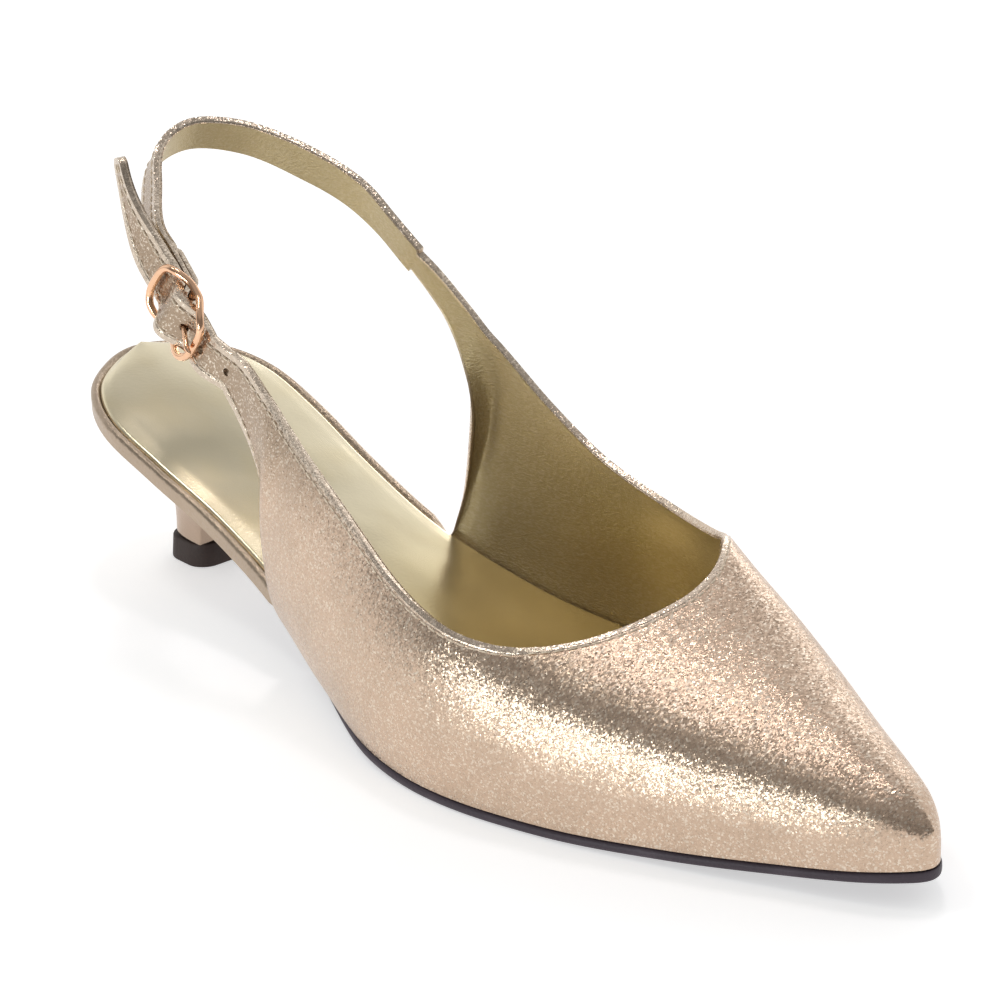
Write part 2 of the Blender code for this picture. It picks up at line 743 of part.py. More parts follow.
def point_outwards(obj):
    """Turns an open shell's faces so that the vamp's ridge faces up."""
    bm = bmesh.new()
    bm.from_mesh(obj.data)
    bm.faces.ensure_lookup_table()
    vamp = [f for f in bm.faces if f.calc_center_median().y < THROAT[0][1] * LENGTH / 2]
    if max(vamp, key=lambda f: abs(f.normal.z)).normal.z < 0:
        bmesh.ops.reverse_faces(bm, faces=bm.faces)
    bm.to_mesh(obj.data)
    bm.free()


# Buckle

@lru_cache(maxsize=None)
def buckle_axes():
    """Origin and unit axes of the buckle: along the strap, out from the ankle, across the strap."""
    end = WING_LATERAL[-1]
    middle = Vector((-(end[TOP_X] + end[LOW_X]) / 2 * BALL_WIDTH,
                     (end[TOP_Y] + end[LOW_Y]) / 2 * LENGTH,
                     (end[TOP_Z] + end[LOW_Z]) / 2 * WING_HEIGHT))
    heading = Vector((math.sin(BUCKLE_HEADING), math.cos(BUCKLE_HEADING), 0.0))
    along = heading * math.cos(BUCKLE_SLOPE) + Vector((0.0, 0.0, math.sin(BUCKLE_SLOPE)))
    side = Vector((-math.cos(BUCKLE_HEADING), math.sin(BUCKLE_HEADING), 0.0))
    rise = along.cross(side)
    out = side * math.cos(BUCKLE_LEAN) + rise * math.sin(BUCKLE_LEAN)
    across = rise * math.cos(BUCKLE_LEAN) - side * math.sin(BUCKLE_LEAN)
    return middle + Vector(BUCKLE_FROM_WING), along, out, across


def at_buckle(s, n, w=0.0):
    """Point at a place along, out and across in the buckle's axes."""
    origin, along, out, across = buckle_axes()
    return origin + along * s + out * n + across * w


def out_from_bar(angle):
    """Direction at an angle round the bar, from along the strap towards out from the ankle."""
    _, along, out, _ = buckle_axes()
    return along * math.cos(angle) + out * math.sin(angle)


def hide_guide(obj):
    """Marks an object as a guide that isn't part of the shoe."""
    obj.hide_render = True
    obj.display_type = "WIRE"


def boolean(obj, name, operation, guide):
    """Adds an exact Boolean with a hidden guide."""
    hide_guide(guide)
    modifier = obj.modifiers.new(name, "BOOLEAN")
    modifier.operation = operation
    modifier.solver = "EXACT"
    modifier.object = guide


def build_buckle_frame(material, parent):
    """Oval frame, arched along the strap, with its centre bar."""
    reach = RING_WIDTH / 2 - RING_WIRE
    path = []
    for k in range(RING_STEPS):
        a = math.tau * k / RING_STEPS
        s = ARC_S * signed_power(math.cos(a), 2 / RING_SQUARENESS)
        w = reach * signed_power(math.sin(a), 2 / RING_SQUARENESS)
        path.append(at_buckle(s, BAR_N + RING_ARCH * smooth_step(ARCH_START, ARCH_END, abs(s) / ARC_S), w))
    rings = wire_rings(path, RING_WIRE, WIRE_SIDES, closed=True)
    frame = tube("buckle_frame", rings, material, parent, closed=True)
    ends = [at_buckle(0.0, BAR_N, w) for w in (-reach, reach)]
    bar = tube("buckle_bar_guide", wire_rings(ends, BAR_WIRE, WIRE_SIDES), material, parent)
    boolean(frame, "bar", "UNION", bar)
    return frame


def over_arc(reach):
    """Point of the prong's centre line just over the lower arc, or reach past it."""
    return at_buckle(-ARC_S - reach, ARC_N + RING_WIRE + 1.4 * GAP + PRONG_WIRE)


def prong_path():
    """Centre line of the prong: an eye round the bar, then out over the lower arc."""
    path = []
    for k in range(EYE_STEPS + 1):
        direction = out_from_bar(mix(-EYE_OPENING, EYE_OPENING, k / EYE_STEPS))
        path.append(at_buckle(0.0, BAR_N) + direction * EYE_RADIUS)
    path.append(path[-1].lerp(over_arc(0.0), 0.5))
    path.append(over_arc(0.0))
    path.append(over_arc(PRONG_REACH))
    return path


def build_buckle_prong(material, parent):
    """Prong that swings on the centre bar and rests over the frame's lower arc."""
    return tube("buckle_prong", wire_rings(prong_path(), PRONG_WIRE, PRONG_SIDES), material, parent)


# Straps

def sections_along(path, outward, widths, thicknesses, first_across):
    """Strap sections along a path, square to it but for the first few, which turn from first_across."""
    sections = []
    count = len(path)
    for i, point in enumerate(path):
        before, after = path[max(i - 1, 0)], path[min(i + 1, count - 1)]
        tangent = (after - before).normalized()
        out = (outward[i] - tangent * outward[i].dot(tangent)).normalized()
        across = tangent.cross(out)
        start = first_across if first_across.dot(across) > 0 else -first_across
        across = across.lerp(start, max(1 - i / TURN_STEPS, 0.0)).normalized()
        sections.append((point, across, out, widths[i], thicknesses[i]))
    return sections


def wing_end(table, side):
    """Middle of a wing's strap end, its direction, its outward normal and the direction of its edge."""
    rows = wing_rows(table, side, [(0.0, 0.0, 0.0)] * (WING_QUADS + 1))
    low, top = Vector(rows[-1][0]), Vector(rows[-1][-1])
    middle = (low + top) / 2
    before = (Vector(rows[-1 - WING_STEPS][0]) + Vector(rows[-1 - WING_STEPS][-1])) / 2
    tangent = (middle - before).normalized()
    edge = (top - low).normalized()
    out = (tangent.cross(edge) * -side).normalized()
    if out.x * side < 0:
        out.negate()
    return middle - out * WALL / 2, tangent, out, edge


def bulge(s):
    """Height of the buckle strap's centre line over the buckle, between the two arcs."""
    t = min(abs(s) / (ARC_S * BULGE_REACH), 1.0)
    return mix(STRAP_UNDER_ARC, STRAP_OVER_BAR, 0.5 + 0.5 * math.cos(math.pi * t))


def buckle_strap_path(start, tangent):
    """Centre line of the lateral strap: from the wing, through the buckle, to its free tab."""
    points = [start + tangent * 1.5 * GAP, at_buckle(-ARC_S - STRAP_LEAD, STRAP_UNDER_ARC)]
    points += [at_buckle(s, bulge(s)) for s in np.linspace(-ARC_S, ARC_S, BULGE_STEPS + 1)]
    for t in (0.12, 0.35, 0.60, 0.82, 1.0):
        points.append(at_buckle(ARC_S + TAB_LENGTH * t, STRAP_UNDER_ARC + TAB_STAND_OFF * t,
                                TAB_RISE * t ** TAB_CURVE))
    return [Vector(p) for p in spline_points(points, BUCKLE_STRAP_STEPS + 1)]


def tab_width(t):
    """Width of the lateral strap at a share of its length, tapered and rounded at the tip."""
    end = max(0.0, (t - TIP_START) / (1 - TIP_START))
    taper = mix(1.0, TAB_TAPER, smooth_step(TAPER_START, TAPER_END, t))
    return STRAP_WIDTH * taper * math.sqrt(max(1 - (TIP_ROUND * end) ** 2, 0.0))


def build_buckle_strap(material, parent):
    """Lateral strap: from the wing under the frame, over the bar, under the frame, to its free tab."""
    start, tangent, out, edge = wing_end(WING_LATERAL, -1)
    path = buckle_strap_path(start, tangent)
    _, _, buckle_out, buckle_across = buckle_axes()
    outward = []
    for i in range(len(path)):
        twist = TAB_TWIST * smooth_step(TAPER_START, 1.0, i / BUCKLE_STRAP_STEPS)
        turned = buckle_out * math.cos(twist) - buckle_across * math.sin(twist)
        outward.append(out.lerp(turned, min(i / LEAN_STEPS, 1.0)))
    widths = [tab_width(i / BUCKLE_STRAP_STEPS) for i in range(len(path))]
    thick = [STRAP_THICKNESS] * len(path)
    sections = sections_along(path, outward, widths, thick, edge)
    strap = tube("buckle_strap", strap_rings(sections), material, parent)
    boolean(strap, "holes", "DIFFERENCE", hole_cutter(path, outward, material, parent))
    return strap


def prong_crossing(path, eye, arc):
    """Index of the strap's section that the prong's straight stretch passes through."""
    gaps = []
    for point in path:
        t = min(max((point - eye).dot(arc - eye) / (arc - eye).length_squared, 0.0), 1.0)
        gaps.append((eye.lerp(arc, t) - point).length)
    return int(np.argmin(gaps))


def hole_cutter(path, outward, material, parent):
    """Cutter of the punched holes along the strap, the middle one on the prong."""
    eye, arc = prong_path()[EYE_STEPS], over_arc(0.0)
    lengths = [0.0]
    for a, b in zip(path, path[1:]):
        lengths.append(lengths[-1] + (b - a).length)
    crossing = prong_crossing(path, eye, arc)
    verts, faces = [], []
    for k in range(HOLE_COUNT):
        want = lengths[crossing] + (k - HOLE_COUNT // 2) * HOLE_PITCH
        i = int(np.argmin([abs(v - want) for v in lengths]))
        if i == crossing:
            axis = (arc - eye).normalized()
            centre = eye + axis * (path[i] - eye).dot(axis)
            radius = PRONG_WIRE + 1.4 * GAP
        else:
            tangent = (path[i + 1] - path[i - 1]).normalized()
            axis = (outward[i] - tangent * outward[i].dot(tangent)).normalized()
            centre, radius = path[i], HOLE_RADIUS
        reach = axis * HOLE_CUT_REACH
        start = len(verts)
        for ring in wire_rings([centre - reach, centre + reach], radius, WIRE_SIDES):
            verts += ring
        for c in range(WIRE_SIDES):
            d = (c + 1) % WIRE_SIDES
            faces.append((start + c, start + d, start + WIRE_SIDES + d, start + WIRE_SIDES + c))
        faces.append(tuple(range(start, start + WIRE_SIDES)))
        faces.append(tuple(range(start + WIRE_SIDES, start + 2 * WIRE_SIDES)))
    return new_object("hole_cutter", verts, faces, material, parent)


def fold_leg(s):
    """Height of the sling's outer layer near the buckle."""
    return mix(BAR_N + FOLD_RADIUS, FOLD_UNDER_STRAP, smooth_step(0.0, ARC_S * FOLD_REACH, s))


def sling_points(start, tangent, out):
    """Points and outward directions of the sling from the medial wing to its lead to the buckle."""
    points, outs = [start + tangent * 1.5 * GAP], [out]
    for x, y, z, lean in SLING:
        points.append(Vector((x * SLING_HALF_WIDTH, SLING_SIDE_Y + y * SLING_DEPTH,
                              SLING_SIDE_HEIGHT + z * SLING_RISE)))
        radial = Vector((x / SLING_HALF_WIDTH, y / SLING_DEPTH, 0.0)).normalized()
        outs.append((radial * math.cos(lean) + Vector((0.0, 0.0, math.sin(lean)))).normalized())
    for s in FOLD_LEADS:
        points.append(at_buckle(s, FOLD_UNDER_STRAP - (STRAP_THICKNESS - FOLD_THICKNESS) / 2))
        outs.append(buckle_axes()[2])
    return points, outs


def fold_points():
    """Points and outward directions of the fold: in to the bar, round it, and back inside."""
    bar = at_buckle(0.0, BAR_N)
    out = buckle_axes()[2]
    points, outs = [], []
    for s in np.linspace(FOLD_END, ARC_S * FOLD_REACH / 2, LEG_STEPS):
        points.append(at_buckle(s, fold_leg(s)))
        outs.append(out)
    for k in range(WRAP_STEPS + 1):
        direction = out_from_bar(mix(WRAP_START, WRAP_END, k / WRAP_STEPS))
        points.append(bar + direction * FOLD_RADIUS)
        outs.append(direction)
    for s in np.linspace(BAR_WIRE + GAP, FOLD_LENGTH, LEG_STEPS + 1):
        inside = fold_leg(s) - FOLD_THICKNESS - GAP
        leave = smooth_step(0.0, ARC_S * RETURN_REACH, s)
        points.append(at_buckle(s, min(mix(BAR_N - FOLD_RADIUS, inside, leave), inside)))
        outs.append(-out)
    return points, outs


def build_sling_strap(material, parent):
    """Strap from the medial wing round the heel, folded round the buckle's bar and back inside."""
    start, tangent, out, edge = wing_end(WING_MEDIAL, 1)
    points, outs = sling_points(start, tangent, out)
    path = [Vector(p) for p in spline_points(points, SLING_STEPS + 1)]
    outward = [Vector(o).normalized() for o in spline_points(outs, SLING_STEPS + 1)]
    thick = [STRAP_THICKNESS] * len(path)
    points, outs = fold_points()
    path += points
    outward += outs
    thick += [FOLD_THICKNESS] * len(points)
    widths = [STRAP_WIDTH] * len(path)
    widths[-2:] = [STRAP_WIDTH * 0.9, STRAP_WIDTH * 0.55]
    sections = sections_along(path, outward, widths, thick, edge)
    strap = tube("sling_strap", strap_rings(sections), material, parent)
    boolean(strap, "slot", "DIFFERENCE", prong_slot(material, parent))
    return strap


def prong_slot(material, parent):
    """Cutter for the slot in the fold, where the prong's eye sits on the bar."""
    half = PRONG_WIRE + GAP
    reach = EYE_RADIUS + PRONG_WIRE + GAP
    rings = []
    for w in (-half, half):
        ring = []
        for k in range(SLOT_STEPS):
            a = math.tau * k / SLOT_STEPS
            ring.append(at_buckle(reach * math.cos(a), BAR_N + reach * math.sin(a), w))
        rings.append(ring)
    return tube("slot_cutter", rings, material, parent)


def stand_over_origin(parent):
    """Moves the shoe so that its box is centred over the origin and rests on z = 0."""
    low, high = np.full(3, np.inf), np.full(3, -np.inf)
    for obj in bpy.data.objects:
        if obj.type == "MESH" and not obj.hide_render:
            points = np.array([v.co for v in obj.data.vertices])
            low, high = np.minimum(low, points.min(axis=0)), np.maximum(high, points.max(axis=0))
    parent.location = (-(low[0] + high[0]) / 2, -(low[1] + high[1]) / 2, -low[2])


def main():
    """Builds the shoe."""
    for obj in list(bpy.data.objects):
        bpy.data.objects.remove(obj)
    shoe = bpy.data.objects.new("shoe", None)
    bpy.context.scene.collection.objects.link(shoe)
    leather = finish("metallic_leather", (0.62, 0.50, 0.38), 0.38, 0.65)
    foil = finish("foil_insole", (0.70, 0.60, 0.36), 0.25, 0.8)
    resin = finish("sole_resin", (0.07, 0.045, 0.06), 0.5, 0.0)
    top_resin = finish("top_piece_resin", (0.03, 0.015, 0.012), 0.5, 0.0)
    gold = finish("rose_gold", (0.80, 0.50, 0.32), 0.15, 1.0)
    build_outsole(resin, shoe)
    build_insole(foil, shoe)
    build_heel(leather, shoe)
    build_top_piece(top_resin, shoe)
    build_upper(leather, shoe)
    build_buckle_frame(gold, shoe)
    build_buckle_prong(gold, shoe)
    build_buckle_strap(leather, shoe)
    build_sling_strap(leather, shoe)
    stand_over_origin(shoe)


main()
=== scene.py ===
"""Right slingback pump with a pointed toe and a kitten heel, in champagne glitter leather.

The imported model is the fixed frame. The pieces here stand where its nodes are: they are worked out in the
last's own frame, where y runs from the toe tip (0) to the back of the seat, and moved over the frame by
one shift that is read from the frame's own boxes. All lengths are in metres.
"""

import logging
import math
from dataclasses import dataclass, field
from enum import Enum
from functools import cached_property, lru_cache
from typing import Callable, Iterable, Sequence

import bmesh
import bpy
import numpy as np
from bmesh.types import BMEdge
from bpy.types import ID, Material, Node, NodeSocket, NodeTree, Object
from mathutils import Matrix, Vector
from mathutils.bvhtree import BVHTree
from mathutils.kdtree import KDTree


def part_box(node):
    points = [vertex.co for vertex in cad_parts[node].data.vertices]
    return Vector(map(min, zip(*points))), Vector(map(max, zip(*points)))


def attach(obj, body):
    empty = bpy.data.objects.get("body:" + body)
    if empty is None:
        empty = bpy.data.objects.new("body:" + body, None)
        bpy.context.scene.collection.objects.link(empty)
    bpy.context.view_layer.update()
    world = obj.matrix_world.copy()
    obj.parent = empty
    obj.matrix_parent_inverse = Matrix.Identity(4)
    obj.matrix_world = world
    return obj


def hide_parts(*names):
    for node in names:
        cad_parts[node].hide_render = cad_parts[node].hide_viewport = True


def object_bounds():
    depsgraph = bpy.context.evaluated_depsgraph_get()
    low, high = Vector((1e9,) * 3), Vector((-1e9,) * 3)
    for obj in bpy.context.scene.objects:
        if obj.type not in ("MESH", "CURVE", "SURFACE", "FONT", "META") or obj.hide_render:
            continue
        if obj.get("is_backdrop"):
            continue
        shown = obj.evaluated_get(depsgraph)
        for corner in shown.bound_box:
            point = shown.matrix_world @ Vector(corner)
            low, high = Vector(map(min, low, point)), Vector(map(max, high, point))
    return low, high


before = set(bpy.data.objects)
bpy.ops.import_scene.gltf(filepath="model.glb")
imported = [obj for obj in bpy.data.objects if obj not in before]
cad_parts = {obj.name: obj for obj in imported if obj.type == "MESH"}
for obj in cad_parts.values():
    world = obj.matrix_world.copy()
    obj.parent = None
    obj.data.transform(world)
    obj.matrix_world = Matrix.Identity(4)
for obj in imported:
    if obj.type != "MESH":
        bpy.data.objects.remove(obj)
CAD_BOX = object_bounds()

log = logging.getLogger("pump")

Pair = tuple[float, float]
Triple = tuple[float, float, float]
Grid = list[list[Vector]]

MM = 0.001
BODY = "root"
LATERAL, MEDIAL = -1, 1

SPLINE_STEPS = 160
SECTION_STEPS = 200
SEAM_INSET = 1.9 * MM
DROP_HEIGHT = 7.0 * MM
FREE_EDGE = 0.5 * MM
FIRST_STITCH = 2.5 * MM

# Outline of the last at the feather line: share of the length, lateral and medial shares of the ball width
OUTLINE = (
    (0.000, 0.000, 0.000),
    (0.016, 0.070, 0.073),
    (0.048, 0.140, 0.131),
    (0.100, 0.221, 0.197),
    (0.180, 0.342, 0.300),
    (0.280, 0.468, 0.400),
    (0.380, 0.537, 0.459),
    (0.460, 0.529, 0.444),
    (0.560, 0.440, 0.350),
    (0.660, 0.348, 0.287),
    (0.760, 0.316, 0.286),
    (0.840, 0.323, 0.306),
    (0.912, 0.314, 0.302),
    (0.960, 0.243, 0.235),
    (0.988, 0.128, 0.125),
    (1.000, 0.000, 0.000),
)

# Vamp sections: share of the length; ridge height as a share of the instep height and its place as a
# share of the medial half width; side and shoulder places as shares of the half widths and ridge height
VAMP_COLUMNS = ("y", "ridge_z", "ridge_x", "lat_side", "lat_x", "lat_z", "med_side", "med_x", "med_z")
VAMP = (
    (0.000, 0.180, 0.00, 1.00, 0.80, 0.80, 1.00, 0.80, 0.80),
    (0.020, 0.305, 0.02, 1.00, 0.78, 0.80, 1.00, 0.79, 0.82),
    (0.060, 0.440, 0.06, 1.00, 0.76, 0.80, 1.00, 0.77, 0.83),
    (0.130, 0.620, 0.14, 1.00, 0.76, 0.79, 1.00, 0.76, 0.86),
    (0.210, 0.800, 0.26, 1.00, 0.79, 0.78, 1.00, 0.74, 0.92),
    (0.290, 0.985, 0.36, 1.01, 0.82, 0.77, 1.01, 0.72, 0.95),
    (0.340, 1.130, 0.40, 1.01, 0.83, 0.76, 1.02, 0.72, 0.95),
)

# Throat edge: share of the way from the lateral to the medial corner, share of the length
THROAT = (
    (0.00, 0.318),
    (0.12, 0.297),
    (0.30, 0.281),
    (0.50, 0.275),
    (0.70, 0.278),
    (0.88, 0.295),
    (1.00, 0.320),
)

# Wings: top edge and lower edge, each as a share of the length, a share of the wing height and a half
# width as a share of the ball width. A lower height of None lies on the feather line.
TOP_Y, TOP_Z, TOP_X, LOW_Y, LOW_Z, LOW_X = range(6)
WING_LATERAL = (
    (0.318, 0.552, 0.407, 0.328, None, None),
    (0.352, 0.568, 0.445, 0.364, None, None),
    (0.388, 0.603, 0.469, 0.404, None, None),
    (0.422, 0.645, 0.473, 0.444, None, None),
    (0.456, 0.703, 0.468, 0.488, None, None),
    (0.492, 0.777, 0.454, 0.532, None, None),
    (0.532, 0.857, 0.436, 0.576, None, None),
    (0.572, 0.933, 0.418, 0.616, None, None),
    (0.596, 0.980, 0.404, 0.650, None, None),
    (0.612, 1.018, 0.396, 0.647, 0.380, 0.374),
    (0.626, 1.053, 0.390, 0.645, 0.545, 0.382),
    (0.641, 1.090, 0.386, 0.649, 0.715, 0.384),
    (0.655, 1.125, 0.382, 0.662, 0.843, 0.382),
    (0.668, 1.150, 0.377, 0.680, 0.938, 0.378),
    (0.682, 1.168, 0.374, 0.697, 1.012, 0.377),
)
WING_MEDIAL = (
    (0.320, 0.690, 0.288, 0.330, None, None),
    (0.346, 0.655, 0.333, 0.354, None, None),
    (0.384, 0.643, 0.372, 0.392, None, None),
    (0.424, 0.658, 0.394, 0.436, None, None),
    (0.462, 0.692, 0.398, 0.480, None, None),
    (0.496, 0.737, 0.396, 0.524, None, None),
    (0.528, 0.802, 0.390, 0.568, None, None),
    (0.560, 0.883, 0.380, 0.612, None, None),
    (0.588, 0.968, 0.369, 0.662, None, None),
    (0.606, 1.022, 0.362, 0.657, 0.400, 0.325),
    (0.622, 1.067, 0.355, 0.652, 0.583, 0.338),
    (0.636, 1.115, 0.350, 0.648, 0.767, 0.343),
    (0.650, 1.162, 0.344, 0.651, 0.927, 0.345),
    (0.666, 1.213, 0.338, 0.667, 1.060, 0.344),
    (0.681, 1.262, 0.329, 0.690, 1.148, 0.344),
    (0.694, 1.300, 0.320, 0.712, 1.217, 0.342),
)

# Sling strap's centre line round the heel: shares of its half width, of its depth past its side and of
# its rise over its side's height, and the lean of its outer face in radians
SLING = (
    (0.900, 0.180, 0.390, 0.42),
    (0.720, 0.520, 0.695, 0.46),
    (0.420, 0.840, 0.950, 0.52),
    (0.030, 1.000, 1.040, 0.60),
    (-0.360, 0.950, 0.930, 0.58),
    (-0.660, 0.740, 0.600, 0.44),
)

# Heel sections: height share between the top piece and the seat, and how far the back, the breast and
# the sides have gone from the neck's outline to the seat's
HEEL_SECTIONS = (
    (0.00, 0.000, 0.00, 0.000),
    (0.14, 0.010, 0.03, -0.015),
    (0.30, 0.030, 0.10, 0.000),
    (0.44, 0.110, 0.20, 0.060),
    (0.58, 0.290, 0.34, 0.200),
    (0.71, 0.530, 0.50, 0.410),
    (0.83, 0.760, 0.68, 0.650),
    (0.92, 0.900, 0.84, 0.850),
    (1.00, 1.000, 1.00, 1.000),
)


class Side(Enum):
    """The two sides of the shoe, with the sign of their x."""

    LATERAL = -1
    MEDIAL = 1


class Slot(Enum):
    """The pieces' material slots."""

    LEATHER = "metallic_leather"
    HEEL = "heel_cover"
    SOCK = "foil_sock"
    OUTSOLE = "outsole_resin"
    TOP_PIECE = "top_piece_resin"
    BUCKLE = "rose_gold"


# Curves

def column(table: Sequence[Sequence[float]], index: int) -> np.ndarray:
    """One column of a table as an array."""
    return np.array([row[index] for row in table], dtype=float)


def curve(xs: Sequence[float], ys: Sequence[float], x: float | np.ndarray) -> np.ndarray:
    """Smooth curve through (xs, ys), read at x.

    Args:
        xs: Rising places of the known points.
        ys: Their values.
        x: Where to read the curve.

    Returns:
        The curve's values at x.
    """
    xs, ys = np.asarray(xs, dtype=float), np.asarray(ys, dtype=float)
    m = np.gradient(ys, xs)
    i = np.clip(np.searchsorted(xs, x, side="right") - 1, 0, len(xs) - 2)
    h = xs[i + 1] - xs[i]
    t = np.clip((x - xs[i]) / h, 0.0, 1.0)
    near = (1 + 2 * t) * (1 - t) ** 2 * ys[i] + t * (1 - t) ** 2 * h * m[i]
    far = t * t * (3 - 2 * t) * ys[i + 1] + t * t * (t - 1) * h * m[i + 1]
    return near + far


def smooth_step(start: float, end: float, x: float) -> float:
    """0 before start, 1 after end, smooth between."""
    t = min(max((x - start) / (end - start), 0.0), 1.0)
    return t * t * (3 - 2 * t)


def mix(a: float, b: float, t: float) -> float:
    """Value t of the way from a to b."""
    return a + (b - a) * t


def signed_power(value: float, power: float) -> float:
    """Power of a number's size, with its sign kept."""
    return math.copysign(abs(value) ** power, value)


def round_share(share: float) -> float:
    """Angle share that gives an outline a round toe and a round seat."""
    return math.acos(1 - 2 * min(max(share, 0.0), 1.0)) / math.pi


def quarter_turn(steps: int) -> list[Pair]:
    """Sines and cosines at even steps of a quarter turn."""
    angles = [math.pi / 2 * k / steps for k in range(steps + 1)]
    return [(math.sin(a), math.cos(a)) for a in angles]


def running_lengths(points: Sequence[Vector]) -> list[float]:
    """Length along a line of points up to each of them."""
    lengths = [0.0]
    for a, b in zip(points, points[1:]):
        lengths.append(lengths[-1] + (b - a).length)
    return lengths


def point_tree(points: Sequence[Vector]) -> KDTree:
    """Tree that finds the nearest of these points."""
    tree = KDTree(len(points))
    for i, point in enumerate(points):
        tree.insert(point, i)
    tree.balance()
    return tree


def spline_points(points: Iterable[Sequence[float]], count: int | Sequence[float]) -> np.ndarray:
    """Points of a smooth curve through the given ones.

    Args:
        points: Points that the curve passes through.
        count: How many evenly spaced points to return, or the shares of its length to read.

    Returns:
        One row for each point.
    """
    known = np.array([tuple(p) for p in points], dtype=float)
    steps = np.linalg.norm(np.diff(known, axis=0), axis=1)
    along = np.concatenate(([0.0], np.cumsum(np.sqrt(np.maximum(steps, 1e-9)))))
    fine = np.linspace(0.0, along[-1], SPLINE_STEPS)
    dense = np.stack([curve(along, known[:, k], fine) for k in range(known.shape[1])], axis=1)
    length = np.concatenate(([0.0], np.cumsum(np.linalg.norm(np.diff(dense, axis=0), axis=1))))
    wanted = np.asarray(count) if np.ndim(count) else np.linspace(0.0, 1.0, count)
    wanted = wanted * length[-1]
    return np.stack([np.interp(wanted, length, dense[:, k]) for k in range(dense.shape[1])], axis=1)


# The last

@dataclass(frozen=True)
class Last:
    """The last that the shoe is made on: its outline, its heights and the soles' levels."""

    length: float = 250.0 * MM
    ball_width: float = 77.0 * MM
    seat_height: float = 37.4 * MM
    seat_slope: float = 0.19
    toe_spring: float = 5.0 * MM
    toe_spring_curve: float = 2.2
    tread_front: float = 0.344
    tread_back: float = 0.392
    instep_height: float = 38.0 * MM
    wing_height: float = 60.0 * MM
    wall: float = 1.6 * MM
    gap: float = 0.3 * MM
    outsole_levels: Pair = (3.0 * MM, 1.2 * MM)
    board_levels: Pair = (1.2 * MM, 4.2 * MM)
    sole_edges: Pair = (0.3 * MM, -1.6 * MM)
    waist_span: Pair = (0.46, 0.64)
    open_span: Pair = (0.648, 0.68)
    edge_overhang: float = 0.9 * MM

    @cached_property
    def shift(self) -> Vector:
        """Way from the last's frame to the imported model's."""
        tip_low, tip_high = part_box("heel_tip")
        return Vector(((tip_low[0] + tip_high[0]) / 2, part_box("insole")[1][1] - self.length, 0.0))

    @cached_property
    def outline(self) -> tuple[np.ndarray, np.ndarray, np.ndarray]:
        """The outline's angles and its lateral and medial shares."""
        angles = np.array([round_share(row[0]) for row in OUTLINE])
        return angles, column(OUTLINE, 1), column(OUTLINE, 2)

    @lru_cache(maxsize=None)
    def half_width(self, y: float, side: int) -> float:
        """Half width at y on one side."""
        angles, lateral, medial = self.outline
        shares = lateral if side < 0 else medial
        return float(max(curve(angles, shares, round_share(y / self.length)), 0.0)) * self.ball_width

    def sole_bottom(self, y: float) -> float:
        """Height of the sole's underside: toe spring, flat tread, then the arch up to the seat."""
        front, back = self.tread_front * self.length, self.tread_back * self.length
        if y < front:
            return self.toe_spring * ((front - y) / front) ** self.toe_spring_curve
        if y < back:
            return 0.0
        run = self.length - back
        u = (y - back) / run
        return (3 * u * u - 2 * u ** 3) * self.seat_height + (u ** 3 - u * u) * self.seat_slope * run

    def waist(self, y: float) -> float:
        """0 in the forepart and 1 in the waist and seat."""
        return smooth_step(self.waist_span[0] * self.length, self.waist_span[1] * self.length, y)

    def sole_top(self, y: float) -> float:
        """Height of the outsole's upper face."""
        return self.sole_bottom(y) + mix(*self.outsole_levels, self.waist(y))

    def feather(self, y: float) -> float:
        """Height of the lower face of the upper and the insole."""
        return self.sole_top(y) + self.gap

    def board_top(self, y: float) -> float:
        """Height of the insole board's upper face."""
        return self.feather(y) + mix(*self.board_levels, self.waist(y))

    def overhang(self, y: float) -> float:
        """How far the leather's lower edge hangs over the outsole's side."""
        return self.edge_overhang * (1 - self.waist(y))

    def open_share(self, y: float) -> float:
        """0 where the upper hides the insole's edge and 1 in the open shank and seat."""
        return smooth_step(self.open_span[0] * self.length, self.open_span[1] * self.length, y)

    def sole_edge(self, y: float) -> float:
        """How far the outsole stands out from the outline."""
        return mix(*self.sole_edges, self.waist(y))

    def stations(self, start: float, end: float, count: int, extra: Iterable[float] = ()) -> list[float]:
        """Stations along the last, closer together at a round toe or seat."""
        first, last = round_share(start / self.length), round_share(end / self.length)
        angles = [mix(first, last, k / count) for k in range(count + 1)]
        ys = [self.length * (1 - math.cos(math.pi * a)) / 2 for a in angles]
        return sorted(set(ys) | set(extra))

    def offset_side(self, ys: Sequence[float], side: int, distance: Callable[[float], float]) -> np.ndarray:
        """Plan points of one side of the outline, moved out along its normal.

        Args:
            ys: Stations along the last.
            side: -1 for lateral and 1 for medial.
            distance: How far to move out at a station.

        Returns:
            One (x, y) row for each station.
        """
        xs = np.array([side * self.half_width(y, side) for y in ys])
        angle = np.array([round_share(y / self.length) for y in ys])
        dx, dy = np.gradient(xs, angle), np.gradient(np.array(ys), angle)
        size = np.maximum(np.hypot(dx, dy), 1e-12)
        nx, ny = side * dy / size, -side * dx / size
        move = np.array([distance(y) for y in ys])
        points = np.stack([xs + nx * move, np.array(ys) + ny * move], axis=1)
        if ys[0] <= 0.0:
            points[0] = (0.0, -move[0])
        if ys[-1] >= self.length:
            points[-1] = (0.0, self.length + move[-1])
        else:
            points[-1][1] = ys[-1]
        return points

    def foot_end(self, table: Sequence[Sequence[float]]) -> float:
        """Where the lower edge of a wing leaves the sole."""
        return max(row[LOW_Y] for row in table if row[LOW_Z] is None) * self.length

